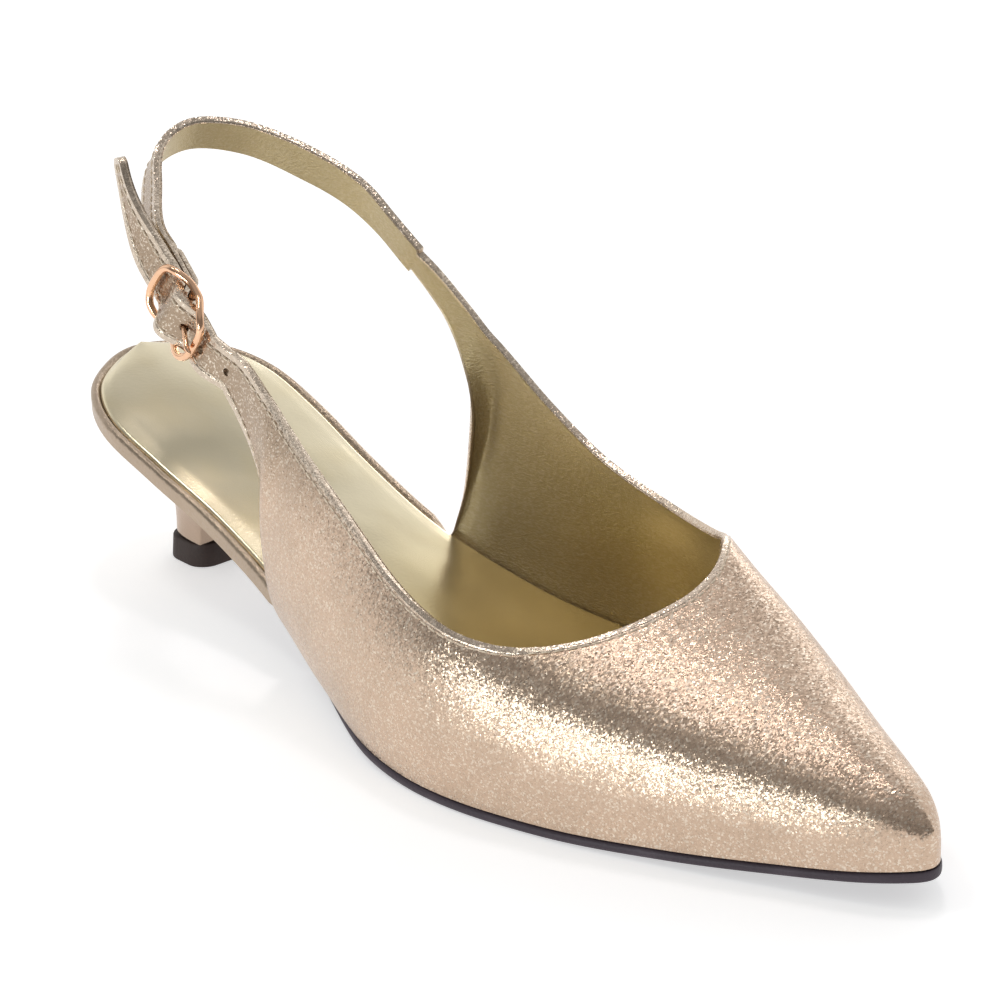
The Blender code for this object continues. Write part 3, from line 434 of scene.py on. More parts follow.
    def board_inset(self, side: int) -> Callable[[float], float]:
        """How far the insole lies inside the outline: the wall's thickness where the upper stands."""
        last = self.foot_end(WING_LATERAL if side < 0 else WING_MEDIAL)
        step = self.wall + self.gap
        return lambda y: -step * (1 - smooth_step(last + self.gap, last + step, y))


LAST = Last()


# The bench: how a piece is made

class Bench:
    """Makes meshes and finishes them with Blender's own tools."""

    merge_distance: float = 0.01 * MM

    @staticmethod
    def deselect() -> None:
        """Leaves nothing selected."""
        if bpy.context.object and bpy.context.object.mode != "OBJECT":
            bpy.ops.object.mode_set(mode="OBJECT")
        bpy.ops.object.select_all(action="DESELECT")

    @classmethod
    def pick(cls, obj: Object) -> None:
        """Makes one object the only selected and active one."""
        cls.deselect()
        obj.select_set(True)
        bpy.context.view_layer.objects.active = obj

    @staticmethod
    def link(name: str, data: ID) -> Object:
        """Puts new data into the scene as an object."""
        obj = bpy.data.objects.new(name, data)
        bpy.context.scene.collection.objects.link(obj)
        return obj

    @classmethod
    def mesh(cls, name: str, verts: Sequence, faces: Sequence) -> Object:
        """Object from points and faces, with its doubles merged and its faces pointing out.

        Args:
            name: The piece's name.
            verts: Points in the last's frame.
            faces: Faces as tuples of point numbers.

        Returns:
            The new object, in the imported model's frame.
        """
        data = bpy.data.meshes.new(name)
        data.from_pydata([tuple(Vector(v) + LAST.shift) for v in verts], [], faces)
        bm = bmesh.new()
        bm.from_mesh(data)
        bmesh.ops.remove_doubles(bm, verts=bm.verts, dist=cls.merge_distance)
        bmesh.ops.recalc_face_normals(bm, faces=bm.faces)
        bm.to_mesh(data)
        bm.free()
        return cls.link(name, data)

    @classmethod
    def modify(cls, obj: Object, kind: str, **settings: object) -> None:
        """Adds a modifier with these settings and applies it."""
        cls.pick(obj)
        modifier = obj.modifiers.new(kind.lower(), kind)
        for key, value in settings.items():
            setattr(modifier, key, value)
        bpy.ops.object.modifier_apply(modifier=modifier.name)

    @classmethod
    def round_edges(cls, obj: Object, width: float, degrees: float = 50.0) -> None:
        """Rounds the edges that are sharper than an angle."""
        cls.modify(obj, "BEVEL", width=width, segments=3, limit_method="ANGLE",
                   angle_limit=math.radians(degrees))

    @classmethod
    def select(cls, obj: Object, kind: str, test: Callable[[object], bool]) -> None:
        """Opens an object in edit mode with the edges or the faces that pass a test selected."""
        cls.pick(obj)
        bpy.ops.object.mode_set(mode="EDIT")
        bpy.ops.mesh.select_mode(type=kind)
        bpy.ops.mesh.select_all(action="DESELECT")
        bm = bmesh.from_edit_mesh(obj.data)
        for element in bm.edges if kind == "EDGE" else bm.faces:
            element.select_set(test(element))
        bmesh.update_edit_mesh(obj.data)

    @classmethod
    def smooth(cls, obj: Object, degrees: float = 40.0) -> None:
        """Shades an object smooth up to an angle."""
        cls.pick(obj)
        bpy.ops.object.shade_smooth_by_angle(angle=math.radians(degrees))

    @classmethod
    def settle(cls, obj: Object, name: str) -> Object:
        """Applies an object's place, turn and scale, and gives it its name."""
        cls.pick(obj)
        bpy.ops.object.transform_apply(location=True, rotation=True, scale=True)
        obj.name = name
        obj.data.name = name
        return obj

    @classmethod
    def tube(cls, name: str, rings: Sequence) -> Object:
        """Body lofted through rings of equally many points, with a cap at each end."""
        count = len(rings[0])
        verts = [p for ring in rings for p in ring]
        faces = []
        for r in range(0, len(verts) - count, count):
            for c in range(count):
                d = (c + 1) % count
                faces.append((r + c, r + d, r + count + d, r + count + c))
        faces += [tuple(range(count)), tuple(range(len(verts) - count, len(verts)))]
        return cls.mesh(name, verts, faces)

    @classmethod
    def wire(cls, name: str, path: Sequence[Vector], radius: float, radii: Sequence[float] | None = None,
             cyclic: bool = False) -> Object:
        """Round wire along a path, made as a bevelled curve and turned into a mesh.

        Args:
            name: The piece's name.
            path: Points in the last's frame.
            radius: The wire's radius.
            radii: Shares of the radius at each point, or None for an even wire.
            cyclic: Whether the path closes on itself.

        Returns:
            The wire as a mesh object at the origin.
        """
        data = bpy.data.curves.new(name, "CURVE")
        data.dimensions = "3D"
        data.bevel_depth = radius
        data.bevel_resolution = 5
        data.use_fill_caps = not cyclic
        spline = data.splines.new("POLY")
        spline.points.add(len(path) - 1)
        for k, point in enumerate(path):
            spline.points[k].co = (*(Vector(point) + LAST.shift), 1.0)
            spline.points[k].radius = radii[k] if radii else 1.0
        spline.use_cyclic_u = cyclic
        cls.pick(cls.link(name, data))
        bpy.ops.object.convert(target="MESH")
        return bpy.context.object

    @classmethod
    def join(cls, name: str, pieces: Sequence[Object]) -> Object:
        """Joins pieces into one object."""
        cls.deselect()
        for piece in pieces:
            piece.select_set(True)
        bpy.context.view_layer.objects.active = pieces[0]
        bpy.ops.object.join()
        pieces[0].name = name
        return pieces[0]

    @classmethod
    def cut(cls, obj: Object, cutters: Sequence[Object]) -> None:
        """Cuts a piece with closed cutters and removes them."""
        for cutter in cutters:
            cls.modify(obj, "BOOLEAN", operation="DIFFERENCE", solver="EXACT", object=cutter)
            bpy.data.objects.remove(cutter)


@dataclass
class Piece:
    """A finished piece with its slot, its finish and the nodes that it stands for."""

    obj: Object
    slot: Slot
    nodes: tuple[str, ...] = ()

    def place(self) -> None:
        """Puts the piece on the shoe's body and hides the imported nodes that it stands for."""
        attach(self.obj, BODY)
        if self.nodes:
            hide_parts(*self.nodes)
        log.info("%s: %d faces, %s", self.obj.name, len(self.obj.data.polygons), self.slot.value)


# Finishes

# Scales of a texture that isn't stretched, and of one drawn out along the shoe
EVEN = (1.0, 1.0, 1.0)
SLANT = (1.0, 0.45, 1.0)

# A value or a link of a socket: a number, a tuple, a node's socket or a Signal
Link = object


def operator(operation: str, swapped: bool = False) -> Callable[["Signal", Link], "Signal"]:
    """Method of Signal that adds one Math node, with its operands swapped for a reflected operator."""

    def method(self: "Signal", other: Link) -> "Signal":
        """Result of the Math node."""
        first, second = (other, self) if swapped else (self, other)
        node = self.recipe.node("ShaderNodeMath", {"operation": operation}, {0: first, 1: second})
        return Signal(self.recipe, node.outputs[0])

    return method


class Signal:
    """A number in a finish's node tree: an expression on it adds the Math nodes."""

    __add__ = operator("ADD")
    __radd__ = operator("ADD", swapped=True)
    __sub__ = operator("SUBTRACT")
    __rsub__ = operator("SUBTRACT", swapped=True)
    __mul__ = operator("MULTIPLY")

    def __init__(self, recipe: "NodeBench", socket: NodeSocket) -> None:
        """Wraps an output socket of a recipe's tree."""
        self.recipe = recipe
        self.socket = socket

    def ramp(self, start: float, end: float) -> "Signal":
        """0 below start and 1 above end, smooth between."""
        node = self.recipe.node("ShaderNodeMapRange", {"interpolation_type": "SMOOTHSTEP"},
                                {"Value": self, "From Min": start, "From Max": end})
        return Signal(self.recipe, node.outputs[0])


class NodeBench:
    """A node tree that nodes are added to."""

    def __init__(self, tree: NodeTree) -> None:
        """Works on this tree."""
        self.tree = tree

    def node(self, kind: str, settings: dict | None = None, sockets: dict | None = None) -> Node:
        """Adds a node.

        Args:
            kind: The node's type.
            settings: Its properties, set first.
            sockets: Values or links of its inputs, by name or number.

        Returns:
            The new node.
        """
        node = self.tree.nodes.new(kind)
        for key, value in (settings or {}).items():
            setattr(node, key, value)
        for key, value in (sockets or {}).items():
            self.feed(node.inputs[key], value)
        return node

    def feed(self, socket: NodeSocket, value: Link) -> None:
        """Links a socket, or sets its value."""
        if isinstance(value, Signal):
            value = value.socket
        if isinstance(value, NodeSocket):
            self.tree.links.new(value, socket)
        else:
            socket.default_value = value


class Recipe(NodeBench):
    """A material under construction: one Principled BSDF and what feeds it."""

    def __init__(self, name: str) -> None:
        """Starts a material with its Principled BSDF."""
        self.material = bpy.data.materials.new(name)
        self.material.use_nodes = True
        super().__init__(self.material.node_tree)
        self.shader = self.tree.nodes["Principled BSDF"]

    def set(self, **sockets: Link) -> None:
        """Feeds the Principled BSDF's sockets, named with underscores for spaces."""
        for key, value in sockets.items():
            self.feed(self.shader.inputs[key.replace("_", " ")], value)

    def coords(self, scale: Triple = EVEN) -> NodeSocket:
        """The object's own coordinates, stretched."""
        place = self.node("ShaderNodeTexCoord").outputs["Object"]
        return self.node("ShaderNodeMapping", None, {"Vector": place, "Scale": scale}).outputs[0]

    def noise(self, size: float, detail: float = 2.0, stretch: Triple = EVEN,
              roughness: float = 0.5) -> Signal:
        """Soft noise with features of about this size."""
        node = self.node("ShaderNodeTexNoise", None, {"Vector": self.coords(stretch), "Scale": 1 / size,
                                                      "Detail": detail, "Roughness": roughness})
        return Signal(self, node.outputs[0])

    def cells(self, size: float, stretch: Triple = EVEN) -> Node:
        """Voronoi cells of about this size."""
        return self.node("ShaderNodeTexVoronoi", None, {"Vector": self.coords(stretch), "Scale": 1 / size})

    def axis(self, index: int) -> Signal:
        """One of the object's own coordinates: 0 for x, 1 for y, 2 for z."""
        return Signal(self, self.node("ShaderNodeSeparateXYZ", None, {0: self.coords()}).outputs[index])

    def attribute(self, name: str) -> Signal:
        """A number kept on the piece's points."""
        return Signal(self, self.node("ShaderNodeAttribute", {"attribute_name": name}).outputs["Fac"])

    def blend(self, amount: Link, first: Link, second: Link) -> NodeSocket:
        """Mix of two colours."""
        colors = [(*c, 1.0) if isinstance(c, tuple) else c for c in (first, second)]
        node = self.node("ShaderNodeMix", {"data_type": "RGBA"}, {0: amount, 6: colors[0], 7: colors[1]})
        return node.outputs[2]

    def vector(self, operation: str, first: Link, second: Link = (0.0, 0.0, 0.0),
               scale: float = 1.0) -> NodeSocket:
        """Result of one Vector Math node."""
        sockets = {0: first, 1: second}
        if operation == "SCALE":
            sockets = {0: first, "Scale": scale}
        return self.node("ShaderNodeVectorMath", {"operation": operation}, sockets).outputs[0]

    def bump(self, height: Link, depth: float, normal: Link = None) -> NodeSocket:
        """Normal bent by a height field of this depth."""
        sockets = {"Height": height, "Distance": depth}
        if normal is not None:
            sockets["Normal"] = normal
        return self.node("ShaderNodeBump", None, sockets).outputs[0]

    def glitter(self, *layers: tuple[float, float, Triple]) -> NodeSocket:
        """Normal of a face covered with flakes that each tilt their own way.

        Args:
            layers: For each layer its flakes' size, their tilt and how they are stretched.

        Returns:
            The tilted normal.
        """
        normal = self.node("ShaderNodeNewGeometry").outputs["Normal"]
        for size, tilt, stretch in layers:
            color = self.cells(size, stretch).outputs["Color"]
            centred = self.vector("SUBTRACT", color, (0.5, 0.5, 0.5))
            normal = self.vector("ADD", normal, self.vector("SCALE", centred, scale=2 * tilt))
        return self.vector("NORMALIZE", normal)


@dataclass(frozen=True)
class GlitterLeather:
    """Outer leather: a metallic film crowded with fine flakes that each face their own way, with painted
    shade high up on the wings and straps, and painted glints and highlights on its pale flakes and folded
    edges.
    """

    name: str = "metallic_leather"
    color: Triple = (0.63, 0.465, 0.345)
    # Pale flake colour, also used for painted glints on the flakes and the painted highlight on the folded
    # edges.
    light: Triple = (0.88, 0.77, 0.64)
    dark: Triple = (0.40, 0.30, 0.22)
    flake: float = 0.33 * MM
    fine_flake: float = 0.20 * MM
    tilt: float = 0.125
    fine_tilt: float = 0.09
    metallic: float = 0.94
    roughness: float = 0.24
    stretch: Triple = (0.62, 1.0, 1.0)
    # Painted shade: the leather darkens towards this colour higher up, fading in from 42 to 60 mm above the
    # floor.
    wing_shade_color: Triple = (0.29, 0.22, 0.15)
    wing_shade_rise: Pair = (0.042, 0.060)
    cloud: float = 14 * MM
    wrinkle: float = 9 * MM
    pebble: float = 1.4 * MM
    depth: float = 0.35 * MM

    def material(self) -> Material:
        """The leather's material."""
        r = Recipe(self.name)
        tilted = r.glitter((self.flake, self.tilt, self.stretch), (self.fine_flake, self.fine_tilt, EVEN))
        pick = Signal(r, r.node("ShaderNodeSeparateColor", None,
                                {0: r.cells(self.flake, self.stretch).outputs["Color"]}).outputs[0])
        cloud = r.noise(self.cloud, 3.0)
        # Painted shade: mask over the upper parts of the wings and straps.
        wings = r.axis(2).ramp(*self.wing_shade_rise)
        edge = r.attribute("edge")
        fold = 1 - edge.ramp(0.9, 1.6)
        crease = edge.ramp(0.9, 1.25) * (1 - edge.ramp(1.35, 1.7))
        # Painted shade: the tone is darkened on the upper parts of the leather.
        tone = r.blend(wings * 0.7, self.color, self.wing_shade_color)
        # Pale flakes, made strong enough to stand in for glints: partly the flakes' own colour, partly
        # painted glints.
        tone = r.blend(pick.ramp(0.70, 0.98) * 0.7, tone, self.light)
        tone = r.blend((1 - pick.ramp(0.02, 0.25)) * 0.35, tone, self.dark)
        tone = r.blend(cloud.ramp(0.35, 0.75) * 0.25, tone, self.dark)
        # Painted highlight: the band along the folded free edges is lightened.
        tone = r.blend(fold * 0.45, tone, self.light)
        wrinkle = r.noise(self.wrinkle, 2.0, SLANT)
        height = wrinkle * 0.5 + r.noise(self.pebble, 2.0) * 0.10 - crease * 0.35 + fold * 0.15
        r.set(Base_Color=tone, Metallic=self.metallic,
              Roughness=self.roughness + pick * 0.14 - fold * 0.06,
              Normal=r.bump(height, self.depth, tilted))
        return r.material


@dataclass(frozen=True)
class Lining:
    """Gold lining leather with a fine brushed grain, and the outer leather folded over its edge, lightened
    there as a painted highlight.
    """

    name: str = "lining_leather"
    color: Triple = (0.50, 0.395, 0.215)
    light: Triple = (0.62, 0.52, 0.33)
    # Outer leather folded over the edge, lighter than its own tone: partly the leather's colour, partly a
    # painted highlight on the rolled edge.
    fold_color: Triple = (0.80, 0.66, 0.50)
    fold_width: Pair = (1.3, 1.5)
    grain: float = 0.42 * MM
    grain_stretch: Triple = (1.0, 0.32, 1.0)
    cloud: float = 11 * MM
    pebble: float = 2.2 * MM
    depth: float = 0.20 * MM

    def material(self) -> Material:
        """The lining's material."""
        r = Recipe(self.name)
        grain = r.noise(self.grain, 3.0, self.grain_stretch, 0.65)
        cloud = r.noise(self.cloud, 3.0)
        fold = 1 - r.attribute("edge").ramp(*self.fold_width)
        tone = r.blend(grain.ramp(0.40, 0.70) * 0.6, self.color, self.light)
        tone = r.blend(cloud.ramp(0.4, 0.8) * 0.3, tone, self.color)
        # The folded band: the outer leather's colour, lightened as a painted highlight.
        tone = r.blend(fold, tone, self.fold_color)
        height = grain + fold * 1.5 + r.noise(self.pebble, 2.0) * 0.5
        r.set(Base_Color=tone, Metallic=0.78, Roughness=0.42 - grain * 0.12,
              Normal=r.bump(height, self.depth))
        return r.material


@dataclass(frozen=True)
class FoilLeather:
    """Smooth foiled leather: the sock, the heel's cover and the insole's wrap."""

    name: str
    back: Triple
    front: Triple
    turn: Pair = (-0.02, 0.07)
    roughness: float = 0.24
    metallic: float = 0.93
    wrinkle: float = 0.5
    grain: float = 0.05
    sparkle: float = 0.0
    flake: float = 0.5 * MM
    cloud: float = 9 * MM
    wave: float = 18 * MM
    pebble: float = 0.7 * MM
    depth: float = 0.9 * MM

    def material(self) -> Material:
        """The foil's material, from its front colour at the toe to its back colour at the seat."""
        r = Recipe(self.name)
        backwards = r.axis(1).ramp(*self.turn)
        tone = r.blend(backwards, self.front, self.back)
        cloud = r.noise(self.cloud, 1.0, (1.0, 0.6, 1.0))
        tone = r.blend(cloud.ramp(0.4, 0.8) * 0.22, tone, tuple(0.72 * c for c in self.front))
        waves = r.noise(self.wave, 1.0, SLANT) * self.wrinkle
        height = waves + cloud * self.wrinkle * 0.25 + r.noise(self.pebble, 2.0) * self.grain
        r.set(Base_Color=tone, Metallic=self.metallic, Roughness=self.roughness + cloud * 0.08,
              Normal=r.bump(height, self.depth, r.glitter((self.flake, self.sparkle, EVEN))))
        return r.material


@dataclass(frozen=True)
class Resin:
    """Moulded resin of the outsole and the top piece, with a faint satin grain and worn patches at random."""

    name: str
    color: Triple
    worn: Triple
    roughness: float = 0.42
    grain: float = 0.5 * MM
    cloud: float = 12 * MM
    depth: float = 0.10 * MM

    def material(self) -> Material:
        """The resin's material."""
        r = Recipe(self.name)
        grain = r.noise(self.grain, 3.0)
        cloud = r.noise(self.cloud, 3.0)
        tone = r.blend(cloud.ramp(0.45, 0.8) * 0.5, self.color, self.worn)
        tone = r.blend(grain.ramp(0.5, 0.8) * 0.25, tone, self.worn)
        r.set(Base_Color=tone, Roughness=self.roughness + grain * 0.2, Specular_IOR_Level=0.45,
              Normal=r.bump(grain + cloud * 0.5, self.depth))
        return r.material


@dataclass(frozen=True)
class PolishedMetal:
    """Polished rose gold with hairline wear."""

    name: str = "rose_gold"
    color: Triple = (0.90, 0.56, 0.36)
    shade: Triple = (0.74, 0.42, 0.24)
    wear: float = 1.5 * MM
    hairline: float = 0.4 * MM
    depth: float = 0.01 * MM

    def material(self) -> Material:
        """The metal's material."""
        r = Recipe(self.name)
        wear = r.noise(self.wear, 4.0)
        tone = r.blend(wear.ramp(0.45, 0.75) * 0.4, self.color, self.shade)
        r.set(Base_Color=tone, Metallic=1.0, Roughness=0.10 + wear * 0.10,
              Normal=r.bump(r.noise(self.hairline, 2.0), self.depth))
        return r.material


@dataclass(frozen=True)
class Thread:
    """Twisted sewing thread."""

    name: str = "sewing_thread"
    color: Triple = (0.90, 0.77, 0.61)
    shade: Triple = (0.62, 0.50, 0.37)
    fibre: float = 0.12 * MM
    depth: float = 0.03 * MM

    def material(self) -> Material:
        """The thread's material."""
        r = Recipe(self.name)
        fibre = r.noise(self.fibre, 2.0, (1.0, 0.4, 1.0))
        tone = r.blend(fibre.ramp(0.35, 0.65), self.shade, self.color)
        r.set(Base_Color=tone, Roughness=0.5, Metallic=0.25, Normal=r.bump(fibre, self.depth))
        return r.material


class Finishes:
    """All the shoe's materials, made once."""

    def __init__(self) -> None:
        """Makes the materials."""
        self.leather = GlitterLeather().material()
        self.lining = Lining().material()
        self.wrap = FoilLeather("insole_wrap", (0.46, 0.36, 0.27), (0.46, 0.36, 0.27), roughness=0.30,
                                wrinkle=0.25, grain=0.12, sparkle=0.10).material()
        # The sock's toe end is a deeper gold, also brightened to stand in for the light it reflects: partly
        # its own colour, partly painted reflection.
        self.sock = FoilLeather("foil_sock", (0.80, 0.71, 0.51), (0.95, 0.76, 0.38), turn=(-0.01, 0.06),
                                roughness=0.18, metallic=0.85, grain=0.02).material()
        self.heel = FoilLeather("heel_cover", (0.44, 0.33, 0.25), (0.44, 0.33, 0.25), roughness=0.20,
                                wrinkle=0.12).material()
        self.outsole = Resin("outsole_resin", (0.045, 0.030, 0.042), (0.10, 0.075, 0.095)).material()
        self.top_piece = Resin("top_piece_resin", (0.030, 0.015, 0.011), (0.075, 0.045, 0.035),
                               0.48).material()
        self.metal = PolishedMetal().material()
        self.thread = Thread().material()


# Soles, sock and heel

@dataclass
class SolePart:
    """A slab that follows the last's outline, with a shaped edge all round."""

    name: str
    slot: Slot
    nodes: tuple[str, ...]
    rows: int = 120
    across: int = 26
    tip_run: float = 16.0 * MM
    tip_share: float = 0.15

    def edge(self, side: int) -> Callable[[float], float]:
        """How far the slab's edge stands out from the outline on one side."""
        raise NotImplementedError

    def profile(self, y: float) -> list[Pair]:
        """Edge profile at y: distance in from the edge and height, from the bottom to the top face."""
        raise NotImplementedError

    def place(self, side: int, k: int) -> Callable[[float], float]:
        """How far the profile's point k stands out from the outline, drawn together at the toe tip."""
        edge = self.edge(side)
        return lambda y: edge(y) - self.profile(y)[k][0] * min(1.0, self.tip_share + y / self.tip_run)

    def crown(self, y: float, t: float) -> float:
        """Height added to the top face at a share of the way across."""
        return 0.0

    def span(self) -> Pair:
        """Where the slab starts and ends."""
        return 0.0, LAST.length

    def build(self) -> Object:
        """Builds the slab.

        Returns:
            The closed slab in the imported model's frame.
        """
        ys = LAST.stations(*self.span(), self.rows)
        steps = range(len(self.profile(ys[0])))
        shares = [c / self.across for c in range(1, self.across)]
        sides = [[LAST.offset_side(ys, side, self.place(side, k)) for k in steps]
                 for side in (LATERAL, MEDIAL)]
        rings = []
        for i, y in enumerate(ys):
            heights = [z for _, z in self.profile(y)]
            left, right = ([(*lines[k][i], heights[k]) for k in steps] for lines in sides)
            top = [(mix(left[-1][0], right[-1][0], t), mix(left[-1][1], right[-1][1], t),
                    heights[-1] + self.crown(y, t)) for t in shares]
            bottom = [(mix(right[0][0], left[0][0], t), mix(right[0][1], left[0][1], t), heights[0])
                      for t in shares]
            rings.append(left + top + right[::-1] + bottom)
        obj = Bench.tube(self.name, rings)
        Bench.smooth(obj, 50.0)
        return obj


@dataclass
class Outsole(SolePart):
    """Thin resin outsole with rounded, lightly sanded edges."""

    name: str = "outsole_sheet"
    slot: Slot = Slot.OUTSOLE
    nodes: tuple[str, ...] = ("outsole",)
    rounding: float = 0.9 * MM
    end_share: float = 0.815

    def span(self) -> Pair:
        """From the toe to the heel's breast."""
        return 0.0, self.end_share * LAST.length - LAST.gap

    def edge(self, side: int) -> Callable[[float], float]:
        """The outsole's edge."""
        return LAST.sole_edge

    def profile(self, y: float) -> list[Pair]:
        """Two rounded corners."""
        low, high = LAST.sole_bottom(y), LAST.sole_top(y) - LAST.overhang(y)
        r = min(self.rounding, (high - low) * 0.45)
        lower = [(r * (1 - sine), low + r * (1 - cosine)) for sine, cosine in quarter_turn(4)]
        return lower + [(r * (1 - cosine), high - r * (1 - sine)) for sine, cosine in quarter_turn(4)]


@dataclass
class InsoleWrap(SolePart):
    """Insole board wrapped in glitter leather: a rolled rim with a groove inside it."""

    name: str = "insole_wrap"
    slot: Slot = Slot.SOCK
    nodes: tuple[str, ...] = ("insole",)
    roll: float = 1.1 * MM
    groove_place: float = 2.5 * MM
    groove_depth: float = 1.3 * MM
    hidden: float = 0.9 * MM

    def edge(self, side: int) -> Callable[[float], float]:
        """The board's edge."""
        return LAST.board_inset(side)

    def profile(self, y: float) -> list[Pair]:
        """Wall, rolled rim and groove."""
        low, high = LAST.feather(y), LAST.board_top(y) - self.hidden * (1 - LAST.open_share(y))
        r = min(self.roll, (high - low) * 0.48)
        depth = min(self.groove_depth, (high - low) * 0.7)
        points = [(0.35 * MM, low), (0.0, low + 0.3 * MM), (0.0, mix(low, high - r, 0.6))]
        points += [(r * (1 - cosine), high - r + r * sine) for sine, cosine in quarter_turn(6)]
        points += [(r + 0.45 * MM, high - 0.15 * depth), (r + 0.85 * MM, high - 0.60 * depth),
                   (self.groove_place, high - depth), (self.groove_place + 1.2 * MM, high - depth)]
        return points


@dataclass
class Sock(SolePart):
    """Padded foil sock, soft at its edge and a little fuller in the middle."""

    name: str = "foil_sock"
    slot: Slot = Slot.SOCK
    nodes: tuple[str, ...] = ()
    inset: float = 2.15 * MM
    closed_inset: float = 0.2 * MM
    round_over: float = 1.25 * MM
    sink: float = 0.95 * MM
    fullness: float = 1.3 * MM
    crown_power: float = 0.6
    puff_width: float = 0.55
    # Each puff: place along the last, place across from -1 to 1, reach along, height in millimetres
    puffs: tuple[tuple[float, float, float, float], ...] = (
        (0.53, -0.35, 0.050, 1.2), (0.60, 0.30, 0.045, 0.9), (0.46, 0.20, 0.045, 0.8),
        (0.70, -0.15, 0.050, 0.9), (0.90, 0.00, 0.070, 0.8), (0.40, -0.30, 0.040, 0.6),
        (0.78, 0.20, 0.035, 0.5))

    def edge(self, side: int) -> Callable[[float], float]:
        """The sock's edge, inside the board's rim."""
        board = LAST.board_inset(side)
        return lambda y: board(y) - mix(self.closed_inset, self.inset, LAST.open_share(y))

    def profile(self, y: float) -> list[Pair]:
        """Soft shoulder."""
        high = LAST.board_top(y)
        low = high - self.sink
        return [(0.3 * MM, low)] + [(self.round_over * (1 - cosine), low + 0.12 * MM + self.sink * sine)
                                    for sine, cosine in quarter_turn(6)]

    def crown(self, y: float, t: float) -> float:
        """Full in the middle, with soft puffs where the padding gathers."""
        full = self.fullness * (4 * t * (1 - t)) ** self.crown_power
        for place, across, reach, height in self.puffs:
            away = ((y / LAST.length - place) / reach) ** 2 + ((2 * t - 1 - across) / self.puff_width) ** 2
            full += height * MM * math.exp(-away) * min(1.0, 8 * t * (1 - t))
        return full


@dataclass
class Heel:
    """Covered kitten heel and its top piece."""

    breast: float = 0.815
    centre: float = 0.8944
    depth: float = 13.2 * MM
    half_width: float = 8.4 * MM
    squareness: float = 3.4
    top_piece_height: float = 5.6 * MM
    flare: float = 0.5 * MM
    cup_inset: float = 0.9 * MM
    cover_round: float = 0.5 * MM
    corner: float = 4.6 * MM
    top_piece_round: float = 0.4 * MM
    side_points: int = 30
    breast_points: int = 20
    levels: int = 44

    @property
    def front(self) -> float:
        """The neck's front."""
        return self.centre * LAST.length - self.depth / 2

    def seat_ring(self) -> list[Pair]:
        """Plan outline of the heel's top: round the seat, then back along the breast."""
        breast = self.breast * LAST.length
        first = round_share(self.breast)
        ys = [LAST.length * (1 - math.cos(math.pi * mix(first, 1.0, k / self.side_points))) / 2
              for k in range(self.side_points + 1)]
        left, right = (LAST.offset_side(ys, side, lambda y: -self.cup_inset) for side in (LATERAL, MEDIAL))
        left[0][1] = right[0][1] = breast
        ring = [tuple(p) for p in left] + [tuple(p) for p in right[::-1][1:]]
        for k in range(1, self.breast_points):
            ring.append((mix(right[0][0], left[0][0], k / self.breast_points), breast))
        return ring

    def neck_ring(self, grow: float) -> list[Pair]:
        """Plan outline of the neck, point for point with the seat's."""
        power = 2 / self.squareness
        reach = self.half_width + grow
        ring = []
        for k in range(2 * self.side_points + 1):
            a = math.pi * k / (2 * self.side_points)
            y = self.front - grow + (self.depth + 2 * grow) * math.sin(a) ** power
            ring.append((-signed_power(math.cos(a), power) * reach, y))
        for k in range(1, self.breast_points):
            ring.append((mix(1.0, -1.0, k / self.breast_points) * reach, self.front - grow))
        return ring

    def build_heel(self) -> Object:
        """The heel, swept in from its cup to a slim neck."""
        seat, neck = self.seat_ring(), self.neck_ring(0.0)
        floor = self.top_piece_height + LAST.gap
        rings = []
        for level in range(self.levels + 1):
            height = level / self.levels
            back, front, side = (float(curve(column(HEEL_SECTIONS, 0), column(HEEL_SECTIONS, k), height))
                                 for k in (1, 2, 3))
            ring = []
            for (sx, sy), (nx, ny) in zip(seat, neck):
                share = (ny - self.front) / self.depth
                y = mix(ny, sy, mix(front, back, share))
                ring.append((mix(nx, sx, side), y, mix(floor, LAST.sole_top(sy), height)))
            rings.append(ring)
        obj = Bench.tube("heel_cover", rings)
        Bench.round_edges(obj, self.cover_round)
        Bench.smooth(obj)
        return obj

    def stands_up(self, edge: BMEdge) -> bool:
        """Whether an edge of the top piece runs from its bottom to its top."""
        a, b = edge.verts
        return abs(a.co.z - b.co.z) > self.top_piece_height / 2

    def build_top_piece(self) -> Object:
        """The hard top piece: a block with rounded corners, flared to the floor."""
        Bench.deselect()
        centre = LAST.shift + Vector((0.0, self.centre * LAST.length, self.top_piece_height / 2))
        bpy.ops.mesh.primitive_cube_add(size=1.0, location=centre)
        obj = bpy.context.object
        obj.scale = (2 * self.half_width, self.depth, self.top_piece_height)
        Bench.settle(obj, "top_piece")
        Bench.select(obj, "EDGE", self.stands_up)
        bpy.ops.mesh.bevel(offset=self.corner, segments=12, profile=0.5)
        Bench.select(obj, "FACE", lambda face: face.normal.z < -0.9)
        grow = 1 + self.flare / self.half_width
        bpy.ops.transform.resize(value=(grow, grow, 1.0), center_override=centre)
        bpy.ops.object.mode_set(mode="OBJECT")
        Bench.round_edges(obj, self.top_piece_round)
        Bench.smooth(obj)
        return obj


# Buckle

